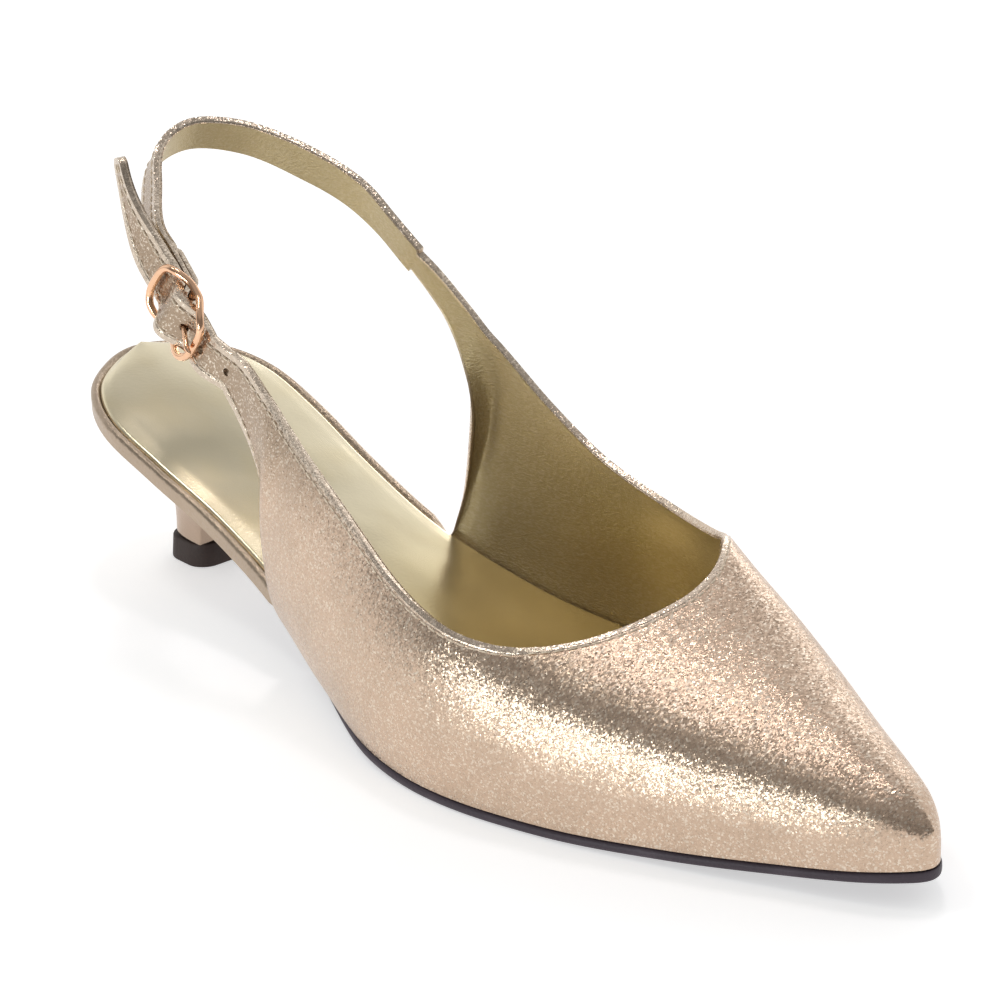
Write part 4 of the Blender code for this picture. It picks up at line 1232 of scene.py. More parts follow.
@dataclass
class Buckle:
    """Rose gold buckle: an arched frame with a centre bar, and a prong with a narrow eye."""

    from_wing: Triple = (0.0, 16.2 * MM, 9.3 * MM)
    slope: float = math.radians(34.0)
    heading: float = math.radians(9.0)
    lean: float = math.radians(14.0)
    strap_width: float = 9.4 * MM
    strap_thickness: float = 1.8 * MM
    length: float = 20.5 * MM
    squareness: float = 3.0
    wire: float = 0.85 * MM
    clearance: float = 1.1 * MM
    arch: float = 2.0 * MM
    arch_span: Pair = (0.1, 0.8)
    bar_drop: float = 1.0 * MM
    bar_wire: float = 0.7 * MM
    prong_wire: float = 0.55 * MM
    prong_reach: float = 1.3 * MM
    # How far past the prong's end in millimetres, and the share of its radius there
    prong_tip: tuple[Pair, ...] = ((0.30, 0.75), (0.45, 0.42), (0.50, 0.08))
    eye_opening: float = math.radians(150.0)
    eye_steps: int = 24
    ring_steps: int = 96

    def __post_init__(self) -> None:
        """Works out the buckle's axes from the lateral wing's end."""
        end = WING_LATERAL[-1]
        middle = Vector((-(end[TOP_X] + end[LOW_X]) / 2 * LAST.ball_width,
                         (end[TOP_Y] + end[LOW_Y]) / 2 * LAST.length,
                         (end[TOP_Z] + end[LOW_Z]) / 2 * LAST.wing_height))
        heading = Vector((math.sin(self.heading), math.cos(self.heading), 0.0))
        self.along = heading * math.cos(self.slope) + Vector((0.0, 0.0, math.sin(self.slope)))
        side = Vector((-math.cos(self.heading), math.sin(self.heading), 0.0))
        rise = self.along.cross(side)
        self.out = side * math.cos(self.lean) + rise * math.sin(self.lean)
        self.across = rise * math.cos(self.lean) - side * math.sin(self.lean)
        self.origin = middle + Vector(self.from_wing)
        self.arc_s = self.length / 2 - self.wire
        self.bar_n = -self.bar_drop
        self.arc_n = self.bar_n + self.arch
        self.reach = (self.strap_width + 4 * self.wire + 2 * self.clearance) / 2 - self.wire
        self.eye_radius = self.bar_wire + LAST.gap + self.prong_wire
        self.strap_under = self.arc_n - self.wire - 1.5 * LAST.gap - self.strap_thickness / 2
        self.strap_over = (self.bar_n + self.eye_radius + self.prong_wire + 1.5 * LAST.gap
                           + self.strap_thickness / 2)

    def at(self, s: float, n: float, w: float = 0.0) -> Vector:
        """Point at a place along, out and across in the buckle's axes."""
        return self.origin + self.along * s + self.out * n + self.across * w

    def round_bar(self, angle: float) -> Vector:
        """Direction at an angle round the bar, from along the strap towards out from the ankle."""
        return self.along * math.cos(angle) + self.out * math.sin(angle)

    def over_arc(self, reach: float) -> Vector:
        """Point of the prong just over the lower arc, or reach past it."""
        return self.at(-self.arc_s - reach, self.arc_n + self.wire + 1.4 * LAST.gap + self.prong_wire)

    def prong_path(self) -> list[Vector]:
        """Centre line of the prong: an eye round the bar, then out over the lower arc."""
        path = []
        for k in range(self.eye_steps + 1):
            direction = self.round_bar(mix(-self.eye_opening, self.eye_opening, k / self.eye_steps))
            path.append(self.at(0.0, self.bar_n) + direction * self.eye_radius)
        start = path[-1]
        path += [start.lerp(self.over_arc(0.0), k / 8) for k in range(1, 9)]
        return path + [self.over_arc(self.prong_reach)]

    def build_frame(self) -> Object:
        """The frame with its centre bar."""
        path = []
        for k in range(self.ring_steps):
            a = math.tau * k / self.ring_steps
            s = self.arc_s * signed_power(math.cos(a), 2 / self.squareness)
            w = self.reach * signed_power(math.sin(a), 2 / self.squareness)
            rise = self.arch * smooth_step(*self.arch_span, abs(s) / self.arc_s)
            path.append(self.at(s, self.bar_n + rise, w))
        even = spline_points(path + path[:1], self.ring_steps + 1)[:-1]
        ring = Bench.wire("buckle_ring", even, self.wire, cyclic=True)
        ends = [self.at(0.0, self.bar_n, w) for w in (-self.reach, self.reach)]
        joined = Bench.join("buckle_frame_wire", [ring, Bench.wire("buckle_bar", ends, self.bar_wire)])
        Bench.smooth(joined, 50.0)
        return joined

    def build_prong(self) -> Object:
        """The prong, tapered to a rounded tip."""
        path = self.prong_path()
        tip, forward = path[-1], (path[-1] - path[-2]).normalized()
        radii = [1.0] * (len(path) - 1) + [0.92]
        for push, share in self.prong_tip:
            path.append(tip + forward * push * MM)
            radii.append(share)
        prong = Bench.wire("buckle_prong_wire", path, self.prong_wire, radii)
        Bench.smooth(prong, 60.0)
        return prong


# The outer leather: vamp, wings and straps cut from one sheet

@dataclass
class Row:
    """One row of the sheet's points, from its low to its top edge, with its wall's share."""

    points: list[Vector]
    wall: float


@dataclass
class Sheet:
    """The outer leather before it has a thickness: points with their walls, faces with their pieces."""

    verts: list[Vector] = field(default_factory=list)
    walls: list[float] = field(default_factory=list)
    faces: list[tuple[int, ...]] = field(default_factory=list)
    tags: list[int] = field(default_factory=list)

    def add(self, row: Row, before: Sequence[int], tag: int) -> list[int]:
        """Adds a row of points and joins it to the one before.

        Args:
            row: The row to add.
            before: Point numbers of the row before, or none for the first.
            tag: The piece that the new faces belong to.

        Returns:
            The new row's point numbers.
        """
        added = list(range(len(self.verts), len(self.verts) + len(row.points)))
        self.verts += row.points
        self.walls += [row.wall] * len(row.points)
        self.faces += zip(before, before[1:], added[1:], added)
        self.tags += [tag] * max(len(before) - 1, 0)
        return added


@dataclass(frozen=True)
class Crease:
    """A soft trough (or ridge, where its depth is negative) between two places on the last."""

    start: Triple
    end: Triple
    depth: float
    width: float

    def push(self, point: Vector) -> float:
        """Depth of the crease at a point."""
        a, b = Vector(self.start) * MM, Vector(self.end) * MM
        span = b - a
        t = (point - a).dot(span) / span.length_squared
        near = a + span * min(max(t, 0.0), 1.0)
        fade = smooth_step(-0.15, 0.25, t) * (1 - smooth_step(0.75, 1.15, t))
        return self.depth * MM * math.exp(-((point - near).length / (self.width * MM)) ** 2) * fade


# Main creases, in millimetres in the last's frame: start, end, depth, width
CREASES = (
    Crease((-36.0, 112.0, 16.0), (-33.0, 124.0, 34.0), 0.35, 3.2),
    Crease((-35.0, 126.0, 20.0), (-31.0, 137.0, 42.0), 0.30, 3.0),
    Crease((-37.0, 119.0, 15.0), (-34.0, 130.0, 36.0), -0.22, 2.8),
)


# Which piece a face of the sheet belongs to, and the two pieces that are parted from the upper
UPPER, BUCKLE_STRAP, SLING_STRAP = range(3)
PARTED = ((BUCKLE_STRAP, "buckle_strap_leather"), (SLING_STRAP, "sling_leather"))


@dataclass
class Leatherwork:
    """The pointed vamp with its wings, the strap through the buckle and the sling round the heel."""

    buckle: Buckle
    side_height: Pair = (0.40, 0.45)
    swell: float = 0.10
    swell_run: float = 30.0 * MM
    swell_low: float = 1.25
    swell_high: float = 0.75
    throat_corner: Pair = (0.83, 0.72)
    quads: int = 16
    wing_steps: int = 4
    throat_quads: int = 28
    vamp_rows: int = 36
    fade_rows: int = 20
    sheet_wall: float = 1.6 * MM
    fold_wall: float = 1.1 * MM
    sling_half_width: float = 0.331 * LAST.ball_width
    sling_side_y: float = 0.744 * LAST.length
    sling_depth: float = 0.148 * LAST.length
    sling_side_height: float = 1.317 * LAST.wing_height
    sling_rise: float = 0.317 * LAST.wing_height
    sling_steps: int = 110
    strap_steps: int = 100
    bulge_reach: float = 0.66
    strap_puff: float = 0.22
    strap_turn: float = 6 / 45
    strap_turn_rows: int = 9
    sling_turn_rows: int = 11
    fold_tip: Triple = (0.95, 0.82, 0.55)
    fold_length: float = 15.0 * MM
    fold_end: float = 11.5 * MM
    fold_leads: Pair = (20.0 * MM, 14.0 * MM)
    fold_reach: float = 0.52
    return_reach: float = 0.6
    wrap: Pair = (math.radians(50.0), math.radians(270.0))
    tab_length: float = 25.5 * MM
    tab_stand_off: float = 3.4 * MM
    tab_rise: float = 9.5 * MM
    tab_curve: float = 2.0
    tab_twist: float = math.radians(26.0)
    tab_taper: float = 0.58
    tab_places: tuple[float, ...] = (0.12, 0.35, 0.60, 0.82, 1.0)
    strap_lead: float = 2.0 * MM
    taper: Pair = (0.60, 0.97)
    tip: Pair = (0.965, 0.95)
    hole_pitch: float = 7.8 * MM
    hole_radius: float = 0.9 * MM
    hole_count: int = 5
    corner_reach: float = 17.0 * MM
    corner_passes: int = 10
    corner_rows: int = 24
    edge_round: float = 0.42 * MM
    edge_step: float = 0.25 * MM
    edge_bias: float = 0.3
    toe_length: float = 40.0 * MM
    creases: tuple[Crease, ...] = CREASES
    edges: Grid = field(default_factory=list)
    seams: dict[str, Grid] = field(default_factory=dict)
    holes: list[tuple[Vector, Vector, float]] = field(default_factory=list)
    surface: BVHTree | None = None

    # Vamp

    @staticmethod
    def vamp_values(y: float) -> dict[str, float]:
        """Values of the VAMP columns at y, by name."""
        return {name: float(curve(column(VAMP, 0), column(VAMP, k), y / LAST.length))
                for k, name in enumerate(VAMP_COLUMNS)}

    def vamp_section(self, y: float, shares: Sequence[float]) -> np.ndarray:
        """Points of the vamp's section at y, from the lateral to the medial feather."""
        low, value = LAST.feather(y), self.vamp_values(y)
        ridge = max(value["ridge_z"] * LAST.instep_height, 0.0)
        lateral, medial = LAST.half_width(y, LATERAL), LAST.half_width(y, MEDIAL)
        points = [
            (-lateral, low),
            (-lateral * value["lat_side"], low + self.side_height[0] * ridge),
            (-lateral * value["lat_x"], low + value["lat_z"] * ridge),
            (medial * value["ridge_x"], low + ridge),
            (medial * value["med_x"], low + value["med_z"] * ridge),
            (medial * value["med_side"], low + self.side_height[1] * ridge),
            (medial, low),
        ]
        return spline_points(points, shares)

    def corner_share(self, y: float, x: float) -> float:
        """Share of the section's length at which it passes x, between its two shoulders."""
        shares = np.linspace(0.0, 1.0, SECTION_STEPS + 1)
        section = self.vamp_section(y, shares)
        inner = slice(SECTION_STEPS // 10, SECTION_STEPS - SECTION_STEPS // 10)
        return float(np.interp(x, section[inner, 0], shares[inner]))

    def tip_row(self, count: int) -> list[Vector]:
        """Upright line of points at the toe tip, the same up from both sides."""
        low = LAST.feather(0.0)
        ridge = VAMP[0][1] * LAST.instep_height
        middle = (count - 1) / 2
        return [Vector((0.0, 0.0, low + ridge * min(k, count - 1 - k) / middle)) for k in range(count)]

    @staticmethod
    def vamp_end(share: float, first: float, last: float) -> float:
        """Where the vamp ends at a share of its section, with its throat from share first to share last."""
        if share < first:
            return mix(WING_LATERAL[0][LOW_Y], WING_LATERAL[0][TOP_Y], share / first)
        if share > last:
            return mix(WING_MEDIAL[0][TOP_Y], WING_MEDIAL[0][LOW_Y], (share - last) / (1 - last))
        return float(curve(column(THROAT, 0), column(THROAT, 1), (share - first) / (last - first)))

    def vamp_grid(self) -> Grid:
        """Rows of points of the vamp from the toe to the throat, lateral to medial."""
        y_lat, y_med = THROAT[0][1] * LAST.length, THROAT[-1][1] * LAST.length
        first = self.corner_share(y_lat, -self.throat_corner[0] * LAST.half_width(y_lat, LATERAL))
        last = self.corner_share(y_med, self.throat_corner[1] * LAST.half_width(y_med, MEDIAL))
        shares = list(np.linspace(0.0, first, self.quads + 1))
        shares += list(np.linspace(first, last, self.throat_quads + 1))[1:]
        shares += list(np.linspace(last, 1.0, self.quads + 1))[1:]
        ends = [self.vamp_end(share, first, last) * LAST.length for share in shares]
        middle = THROAT[len(THROAT) // 2][1] * LAST.length
        rows = [self.tip_row(len(shares))]
        for base in LAST.stations(0.0, middle, self.vamp_rows)[1:]:
            pull = (base / middle) ** 2
            row = []
            for share, end in zip(shares, ends):
                y = base + pull * (end - middle)
                x, z = self.vamp_section(y, [share])[0]
                row.append(Vector((x, y, z)))
            rows.append(row)
        return rows

    # Wings

    @staticmethod
    def low_point(row: Sequence[float | None], sign: int) -> Triple:
        """Place along, height and half width of a wing's lower edge at one row of its table."""
        y = row[LOW_Y] * LAST.length
        if row[LOW_Z] is None:
            return y, LAST.feather(y), LAST.half_width(y, sign)
        return y, row[LOW_Z] * LAST.wing_height, row[LOW_X] * LAST.ball_width

    def wing_rows(self, side: Side, seam: Sequence[Vector]) -> Grid:
        """Rows of one wing from its seam with the vamp to its strap end.

        Args:
            side: Which wing.
            seam: The vamp's points at the seam, from the feather up.

        Returns:
            Rows of points, each from the low to the top edge.
        """
        table = WING_LATERAL if side is Side.LATERAL else WING_MEDIAL
        sign = side.value
        along = np.arange(len(table), dtype=float)
        steps = np.linspace(0.0, len(table) - 1.0, (len(table) - 1) * self.wing_steps + 1)
        low = np.array([self.low_point(row, sign) for row in table])
        foot = sum(1 for row in table if row[LOW_Z] is None) - 1
        rows = []
        for step in steps:
            ty, tz, tx = (float(curve(along, column(table, k), step)) for k in (TOP_Y, TOP_Z, TOP_X))
            part = range(foot + 1) if step <= foot else range(foot, len(table))
            index = np.array(part, dtype=float)
            y, z, x = (float(curve(index, low[list(part), k], step)) for k in range(3))
            if step <= foot:
                z, x = LAST.feather(y), LAST.half_width(y, sign)
            upper = Vector((sign * tx * LAST.ball_width, ty * LAST.length, tz * LAST.wing_height))
            lower = Vector((sign * x, y, z))
            height = (upper - lower).length
            swell = self.swell * height * smooth_step(0.0, self.swell_run, height - self.buckle.strap_width)
            row = []
            for k in range(self.quads + 1):
                t = k / self.quads
                point = lower.lerp(upper, t)
                point.x += sign * swell * 4 * t * (1 - t) * mix(self.swell_low, self.swell_high, t)
                row.append(point)
            rows.append(row)
        shift = [a - b for a, b in zip(seam, rows[0])]
        for r, row in enumerate(rows):
            fade = 1 - smooth_step(0.0, self.fade_rows, r)
            rows[r] = [p + s * fade for p, s in zip(row, shift)]
        return rows

    def wing_end(self, rows: Grid, sign: int) -> tuple[Vector, Vector, Vector, Vector]:
        """Middle of a wing's strap end, its direction, its outward normal and the direction of its edge."""
        low, top = rows[-1][0], rows[-1][-1]
        middle = (low + top) / 2
        before = (rows[-1 - self.wing_steps][0] + rows[-1 - self.wing_steps][-1]) / 2
        tangent = (middle - before).normalized()
        edge = (top - low).normalized()
        out = tangent.cross(edge).normalized()
        if out.x * sign < 0:
            out.negate()
        return middle - out * self.sheet_wall / 2, tangent, out, edge

    # Straps

    @staticmethod
    def strap_rows(path: list[Vector], outward: list[Vector], widths: list[float], walls: list[float],
                   edge: Vector, quads: int, turn_steps: int) -> list[Row]:
        """Rows of a strap's outer face along its centre line.

        Args:
            path: The centre line.
            outward: Its outward direction at each point.
            widths: Its width at each point.
            walls: Its thickness at each point.
            edge: Direction across the wing's end, from its low to its top edge.
            quads: How many quads lie across it.
            turn_steps: How many rows turn from the wing's end to square.

        Returns:
            One row for each point of the path.
        """
        rows = []
        last = len(path) - 1
        for i, point in enumerate(path):
            tangent = (path[min(i + 1, last)] - path[max(i - 1, 0)]).normalized()
            out = (outward[i] - tangent * outward[i].dot(tangent)).normalized()
            across = tangent.cross(out)
            start = edge if edge.dot(across) > 0 else -edge
            across = across.lerp(start, max(1 - i / turn_steps, 0.0)).normalized()
            if i == 0:
                sign = 1.0 if across.dot(edge) > 0 else -1.0
            outer = point + out * walls[i] / 2
            half = sign * widths[i] / 2
            points = [outer + across * half * (2 * k / quads - 1) for k in range(quads + 1)]
            rows.append(Row(points, walls[i]))
        return rows

    def bulge(self, s: float) -> float:
        """Height of the buckle strap's centre line over the buckle, between the two arcs."""
        t = min(abs(s) / (self.buckle.arc_s * self.bulge_reach), 1.0)
        return mix(self.buckle.strap_under, self.buckle.strap_over, 0.5 + 0.5 * math.cos(math.pi * t))

    def buckle_strap_path(self, start: Vector, tangent: Vector) -> list[Vector]:
        """Centre line of the lateral strap: from the wing, through the buckle, to its free tab."""
        at, arc = self.buckle.at, self.buckle.arc_s
        points = [start + tangent * 1.5 * LAST.gap, at(-arc - self.strap_lead, self.buckle.strap_under)]
        points += [at(s, self.bulge(s)) for s in np.linspace(-arc, arc, 13)]
        for t in self.tab_places:
            points.append(at(arc + self.tab_length * t, self.buckle.strap_under + self.tab_stand_off * t,
                             self.tab_rise * t ** self.tab_curve))
        shares = np.linspace(0.0, 1.0, self.strap_steps + 1)
        shares = np.concatenate((shares[:-4], np.linspace(shares[-4], 1.0, 9)))
        return [Vector(p) for p in spline_points(points, shares)]

    def tab_width(self, t: float) -> float:
        """Width of the lateral strap at a share of its length, tapered and rounded at the tip."""
        end = max(0.0, (t - self.tip[0]) / (1 - self.tip[0]))
        width = mix(1.0, self.tab_taper, smooth_step(*self.taper, t))
        return self.buckle.strap_width * width * math.sqrt(max(1 - (self.tip[1] * end) ** 2, 0.0))

    def buckle_strap(self, wing: Grid) -> list[Row]:
        """Rows of the lateral strap, whose holes are placed on the way."""
        start, tangent, out, edge = self.wing_end(wing, LATERAL)
        path = self.buckle_strap_path(start, tangent)
        lengths = running_lengths(path)
        shares = [v / lengths[-1] for v in lengths]
        outward = []
        for t in shares:
            twist = self.tab_twist * smooth_step(self.taper[0], 1.0, t)
            turned = self.buckle.out * math.cos(twist) - self.buckle.across * math.sin(twist)
            outward.append(out.lerp(turned, min(t / self.strap_turn, 1.0)))
        widths = []
        for t, point in zip(shares, path):
            s = (point - self.buckle.origin).dot(self.buckle.along) / (self.buckle.arc_s * self.bulge_reach)
            widths.append(self.tab_width(t) * (1 + self.strap_puff * max(1 - s * s, 0.0)))
        self.holes = self.hole_places(path, outward)
        walls = [self.buckle.strap_thickness] * len(path)
        return self.strap_rows(path, outward, widths, walls, edge, self.quads, self.strap_turn_rows)

    @property
    def fold_under(self) -> float:
        """Height of the sling's outer layer where it lies under the buckle strap."""
        return (self.buckle.strap_under - self.buckle.strap_thickness / 2 - 1.4 * LAST.gap
                - self.fold_wall / 2)

    @property
    def fold_radius(self) -> float:
        """Radius of the fold round the bar, to the middle of its leather."""
        return self.buckle.bar_wire + LAST.gap + self.fold_wall / 2

    def fold_leg(self, s: float) -> float:
        """Height of the sling's outer layer near the buckle."""
        return mix(self.buckle.bar_n + self.fold_radius, self.fold_under,
                   smooth_step(0.0, self.buckle.arc_s * self.fold_reach, s))

    def fold_points(self) -> tuple[list[Vector], list[Vector]]:
        """Points and outward directions of the fold: in to the bar, round it, and back inside."""
        at, bar_n, out, radius = self.buckle.at, self.buckle.bar_n, self.buckle.out, self.fold_radius
        points, outs = [], []
        for s in np.linspace(self.fold_end, self.buckle.arc_s * self.fold_reach / 2, 12):
            points.append(at(s, self.fold_leg(s)))
            outs.append(out)
        for k in range(21):
            direction = self.buckle.round_bar(mix(*self.wrap, k / 20))
            points.append(at(0.0, bar_n) + direction * radius)
            outs.append(direction)
        for s in np.linspace(self.buckle.bar_wire + LAST.gap, self.fold_length, 16):
            inside = self.fold_leg(s) - self.fold_wall - LAST.gap
            leave = smooth_step(0.0, self.buckle.arc_s * self.return_reach, s)
            points.append(at(s, min(mix(bar_n - radius, inside, leave), inside)))
            outs.append(-out)
        return points, outs

    def sling(self, wing: Grid) -> list[Row]:
        """Rows of the sling from the medial wing round the heel to its fold on the buckle's bar."""
        start, tangent, out, edge = self.wing_end(wing, MEDIAL)
        points, outs = [start + tangent * 1.5 * LAST.gap], [out]
        for x, y, z, lean in SLING:
            points.append(Vector((x * self.sling_half_width, self.sling_side_y + y * self.sling_depth,
                                  self.sling_side_height + z * self.sling_rise)))
            radial = Vector((x / self.sling_half_width, y / self.sling_depth, 0.0)).normalized()
            outs.append((radial * math.cos(lean) + Vector((0.0, 0.0, math.sin(lean)))).normalized())
        lead = self.fold_under - (self.buckle.strap_thickness - self.fold_wall) / 2
        for s in self.fold_leads:
            points.append(self.buckle.at(s, lead))
            outs.append(self.buckle.out)
        path = [Vector(p) for p in spline_points(points, self.sling_steps + 1)]
        outward = [Vector(o).normalized() for o in spline_points(outs, self.sling_steps + 1)]
        walls = [self.buckle.strap_thickness] * len(path)
        fold, fold_outs = self.fold_points()
        path += fold
        outward += fold_outs
        walls += [self.fold_wall] * len(fold)
        widths = [self.buckle.strap_width] * len(path)
        widths[-3:] = [share * self.buckle.strap_width for share in self.fold_tip]
        return self.strap_rows(path, outward, widths, walls, edge, self.quads, self.sling_turn_rows)

    # Cutting and sewing

    def build(self) -> dict[str, Object]:
        """Makes the sheet, gives it its thickness and parts it into the upper and the two straps.

        Returns:
            The three pieces by name.
        """
        vamp = self.vamp_grid()
        sheet, last = Sheet(), []
        for row in vamp:
            last = sheet.add(Row(row, self.sheet_wall), last, UPPER)
        grids = {}
        for side in Side:
            before = (last if side is Side.LATERAL else last[::-1])[:self.quads + 1]
            seam = [sheet.verts[i] for i in before]
            wing = [seam] + self.wing_rows(side, seam)[1:]
            strap, tag = ((self.buckle_strap(wing), BUCKLE_STRAP) if side is Side.LATERAL
                          else (self.sling(wing), SLING_STRAP))
            rows = [Row(row, self.sheet_wall) for row in wing] + strap
            for r, row in enumerate(rows[1:], start=1):
                before = sheet.add(row, before, UPPER if r < len(wing) else tag)
            grids[side] = (rows, len(wing))
        corner = vamp[-1][self.quads].copy()
        rim = [row.points[-1] for row in grids[Side.LATERAL][0][1:self.corner_rows]][::-1]
        rim += vamp[-1][self.quads:self.quads + self.throat_quads // 2]
        self.round_corner(sheet.verts, rim, corner)
        for point in sheet.verts:
            self.drop_edge(point)
        self.note_edges(vamp[-1][self.quads:-self.quads], grids)
        self.plan_seams(vamp, grids)
        obj = Bench.mesh("outer_leather", sheet.verts, sheet.faces)
        self.tag_sheet(obj, sheet)
        self.crease(obj)
        self.surface = BVHTree.FromPolygons([v.co.copy() for v in obj.data.vertices],
                                            [tuple(p.vertices) for p in obj.data.polygons])
        Bench.modify(obj, "SOLIDIFY", thickness=max(sheet.walls), offset=-1.0, use_even_offset=True,
                     use_rim=True, vertex_group="wall", material_offset=1, material_offset_rim=0)
        Bench.round_edges(obj, self.edge_round, 55.0)
        return self.part(obj)

    def round_corner(self, verts: list[Vector], rim: list[Vector], corner: Vector) -> None:
        """Rounds the throat's near corner and lets the leather round it follow.

        Args:
            verts: All the sheet's points, moved in place.
            rim: The points of the edge on both sides of the corner, in order.
            corner: The corner's place.
        """
        before = [p.copy() for p in rim]
        share = [1 - smooth_step(0.35 * self.corner_reach, self.corner_reach, (p - corner).length)
                 for p in rim]
        for _ in range(self.corner_passes):
            old = [p.copy() for p in rim]
            for i in range(1, len(rim) - 1):
                rim[i].xyz = old[i].lerp((old[i - 1] + old[i + 1]) / 2, share[i])
        moves = [after - start for after, start in zip(rim, before)]
        edge_points = {id(p) for p in rim}
        for point in verts:
            if id(point) in edge_points or (point - corner).length > 2 * self.corner_reach:
                continue
            near = min(range(len(rim)), key=lambda i: (before[i] - point).length)
            fade = 1 - smooth_step(0.0, self.corner_reach, (before[near] - point).length)
            point += moves[near] * fade

    @staticmethod
    def drop_edge(point: Vector) -> None:
        """Draws the leather's lower edge down over the outsole in the forepart."""
        above = (point.z - LAST.feather(point.y)) / DROP_HEIGHT
        if above < 1.0:
            point.z -= LAST.overhang(point.y) * (1 - max(above, 0.0)) ** 2

    def note_edges(self, throat: list[Vector], grids: dict) -> None:
        """Keeps the sheet's free edges, for the folded band along them."""
        self.edges.append(list(throat))
        for rows, _ in grids.values():
            self.edges.append([row.points[-1] for row in rows])
            low = [row.points[0] for row in rows]
            start = next(i for i, p in enumerate(low) if p.z > LAST.feather(p.y) + FREE_EDGE)
            self.edges.append(low[start - 1:])
            self.edges.append(list(rows[-1].points))

    def tag_sheet(self, obj: Object, sheet: Sheet) -> None:
        """Marks each face with its piece and each point with its wall, and points the faces out."""
        for letter in "abcdef":
            obj.data.materials.append(bpy.data.materials.new(f"pattern_{letter}"))
        places = [v + LAST.shift for v in sheet.verts]
        points = point_tree(places)
        middles = point_tree([sum((places[k] for k in face), Vector()) / len(face) for face in sheet.faces])
        bm = bmesh.new()
        bm.from_mesh(obj.data)
        for face in bm.faces:
            face.material_index = 2 * sheet.tags[middles.find(face.calc_center_median())[1]]
        top = max((f for f in bm.faces if f.calc_center_median().y - LAST.shift.y < self.toe_length),
                  key=lambda f: abs(f.normal.z))
        if top.normal.z < 0:
            bmesh.ops.reverse_faces(bm, faces=bm.faces)
        layer = bm.verts.layers.deform.verify()
        for vert in bm.verts:
            vert[layer][0] = sheet.walls[points.find(vert.co)[1]] / max(sheet.walls)
        bm.to_mesh(obj.data)
        bm.free()
        obj.vertex_groups.new(name="wall")

    def crease(self, sheet: Object) -> None:
        """Works the soft creases into the sheet."""
        for vert in sheet.data.vertices:
            place = vert.co - LAST.shift
            depth = sum(c.push(place) for c in self.creases)
            if depth:
                vert.co = vert.co - vert.normal * depth

    def part(self, sheet: Object) -> dict[str, Object]:
        """Parts the thick sheet into the upper and the straps, closes their ends and punches the holes."""
        made = {}
        for tag, name in PARTED:
            Bench.select(sheet, "FACE", lambda face, tag=tag: face.material_index // 2 == tag)
            bpy.ops.mesh.separate(type="SELECTED")
            bpy.ops.object.mode_set(mode="OBJECT")
            made[name] = next(o for o in bpy.context.selected_objects if o is not sheet)
            made[name].name = name
        made["upper_leather"] = sheet
        sheet.name = "upper_leather"
        for obj in made.values():
            self.close(obj)
        Bench.cut(made["buckle_strap_leather"], [self.hole_cutter(*place) for place in self.holes])
        Bench.cut(made["sling_leather"], [self.slot_cutter()])
        for obj in made.values():
            self.mark_edges(obj)
            Bench.smooth(obj, 50.0)
        return made

    @staticmethod
    def close(obj: Object) -> None:
        """Closes the open ends left by the parting."""
        bm = bmesh.new()
        bm.from_mesh(obj.data)
        rim = [e for e in bm.edges if e.is_boundary]
        bmesh.ops.holes_fill(bm, edges=rim, sides=0)
        for face in bm.faces:
            face.material_index = face.material_index % 2
        bmesh.ops.recalc_face_normals(bm, faces=bm.faces)
        bm.to_mesh(obj.data)
        bm.free()

    def mark_edges(self, obj: Object) -> None:
        """Keeps each point's distance from the nearest free edge, in millimetres."""
        dense = []
        for line in self.edges:
            for a, b in zip(line, line[1:]):
                steps = max(int((b - a).length / self.edge_step), 1)
                dense += [a.lerp(b, k / steps) + LAST.shift for k in range(steps)]
        tree = point_tree(dense)
        layer = obj.data.attributes.new("edge", "FLOAT", "POINT")
        layer.data.foreach_set("value", [max(tree.find(vert.co)[2] / MM - self.edge_bias, 0.0)
                                         for vert in obj.data.vertices])

    # Holes

    def hole_places(self, path: list[Vector], outward: list[Vector]) -> list[tuple[Vector, Vector, float]]:
        """Centre, direction and radius of each punched hole, the middle one on the prong."""
        prong = self.buckle.prong_path()
        eye, arc = prong[self.buckle.eye_steps], self.buckle.over_arc(0.0)
        axis = (arc - eye).normalized()
        gaps = []
        for point in path:
            t = min(max((point - eye).dot(axis) / (arc - eye).length, 0.0), 1.0)
            gaps.append((eye.lerp(arc, t) - point).length)
        crossing = int(np.argmin(gaps))
        lengths = running_lengths(path)
        places = []
        for k in range(self.hole_count):
            want = lengths[crossing] + (k - self.hole_count // 2) * self.hole_pitch
            i = int(np.argmin([abs(v - want) for v in lengths]))
            if i == crossing:
                centre = eye + axis * (path[i] - eye).dot(axis)
                places.append((centre, axis, self.buckle.prong_wire + 1.4 * LAST.gap))
                continue
            tangent = (path[i + 1] - path[i - 1]).normalized()
            normal = (outward[i] - tangent * outward[i].dot(tangent)).normalized()
            places.append((path[i], normal, self.hole_radius))
        return places

    def hole_cutter(self, centre: Vector, axis: Vector, radius: float) -> Object:
        """Round punch through the strap."""
        Bench.deselect()
        turn = axis.to_track_quat("Z", "Y").to_euler()
        bpy.ops.mesh.primitive_cylinder_add(vertices=24, radius=radius, location=centre + LAST.shift,
                                            depth=3.2 * self.buckle.strap_thickness, rotation=turn)
        return Bench.settle(bpy.context.object, "punch")

    def slot_cutter(self) -> Object:
        """Cutter for the slot in the fold, where the prong's eye sits on the bar."""
        buckle = self.buckle
        half = buckle.prong_wire + LAST.gap
        reach = buckle.eye_radius + buckle.prong_wire + LAST.gap
        rings = []
        for w in (-half, half):
            rings.append([buckle.at(reach * math.cos(math.tau * k / 24),
                                    buckle.bar_n + reach * math.sin(math.tau * k / 24), w)
                          for k in range(24)])
        return Bench.tube("slot_cutter", rings)

    # Seams

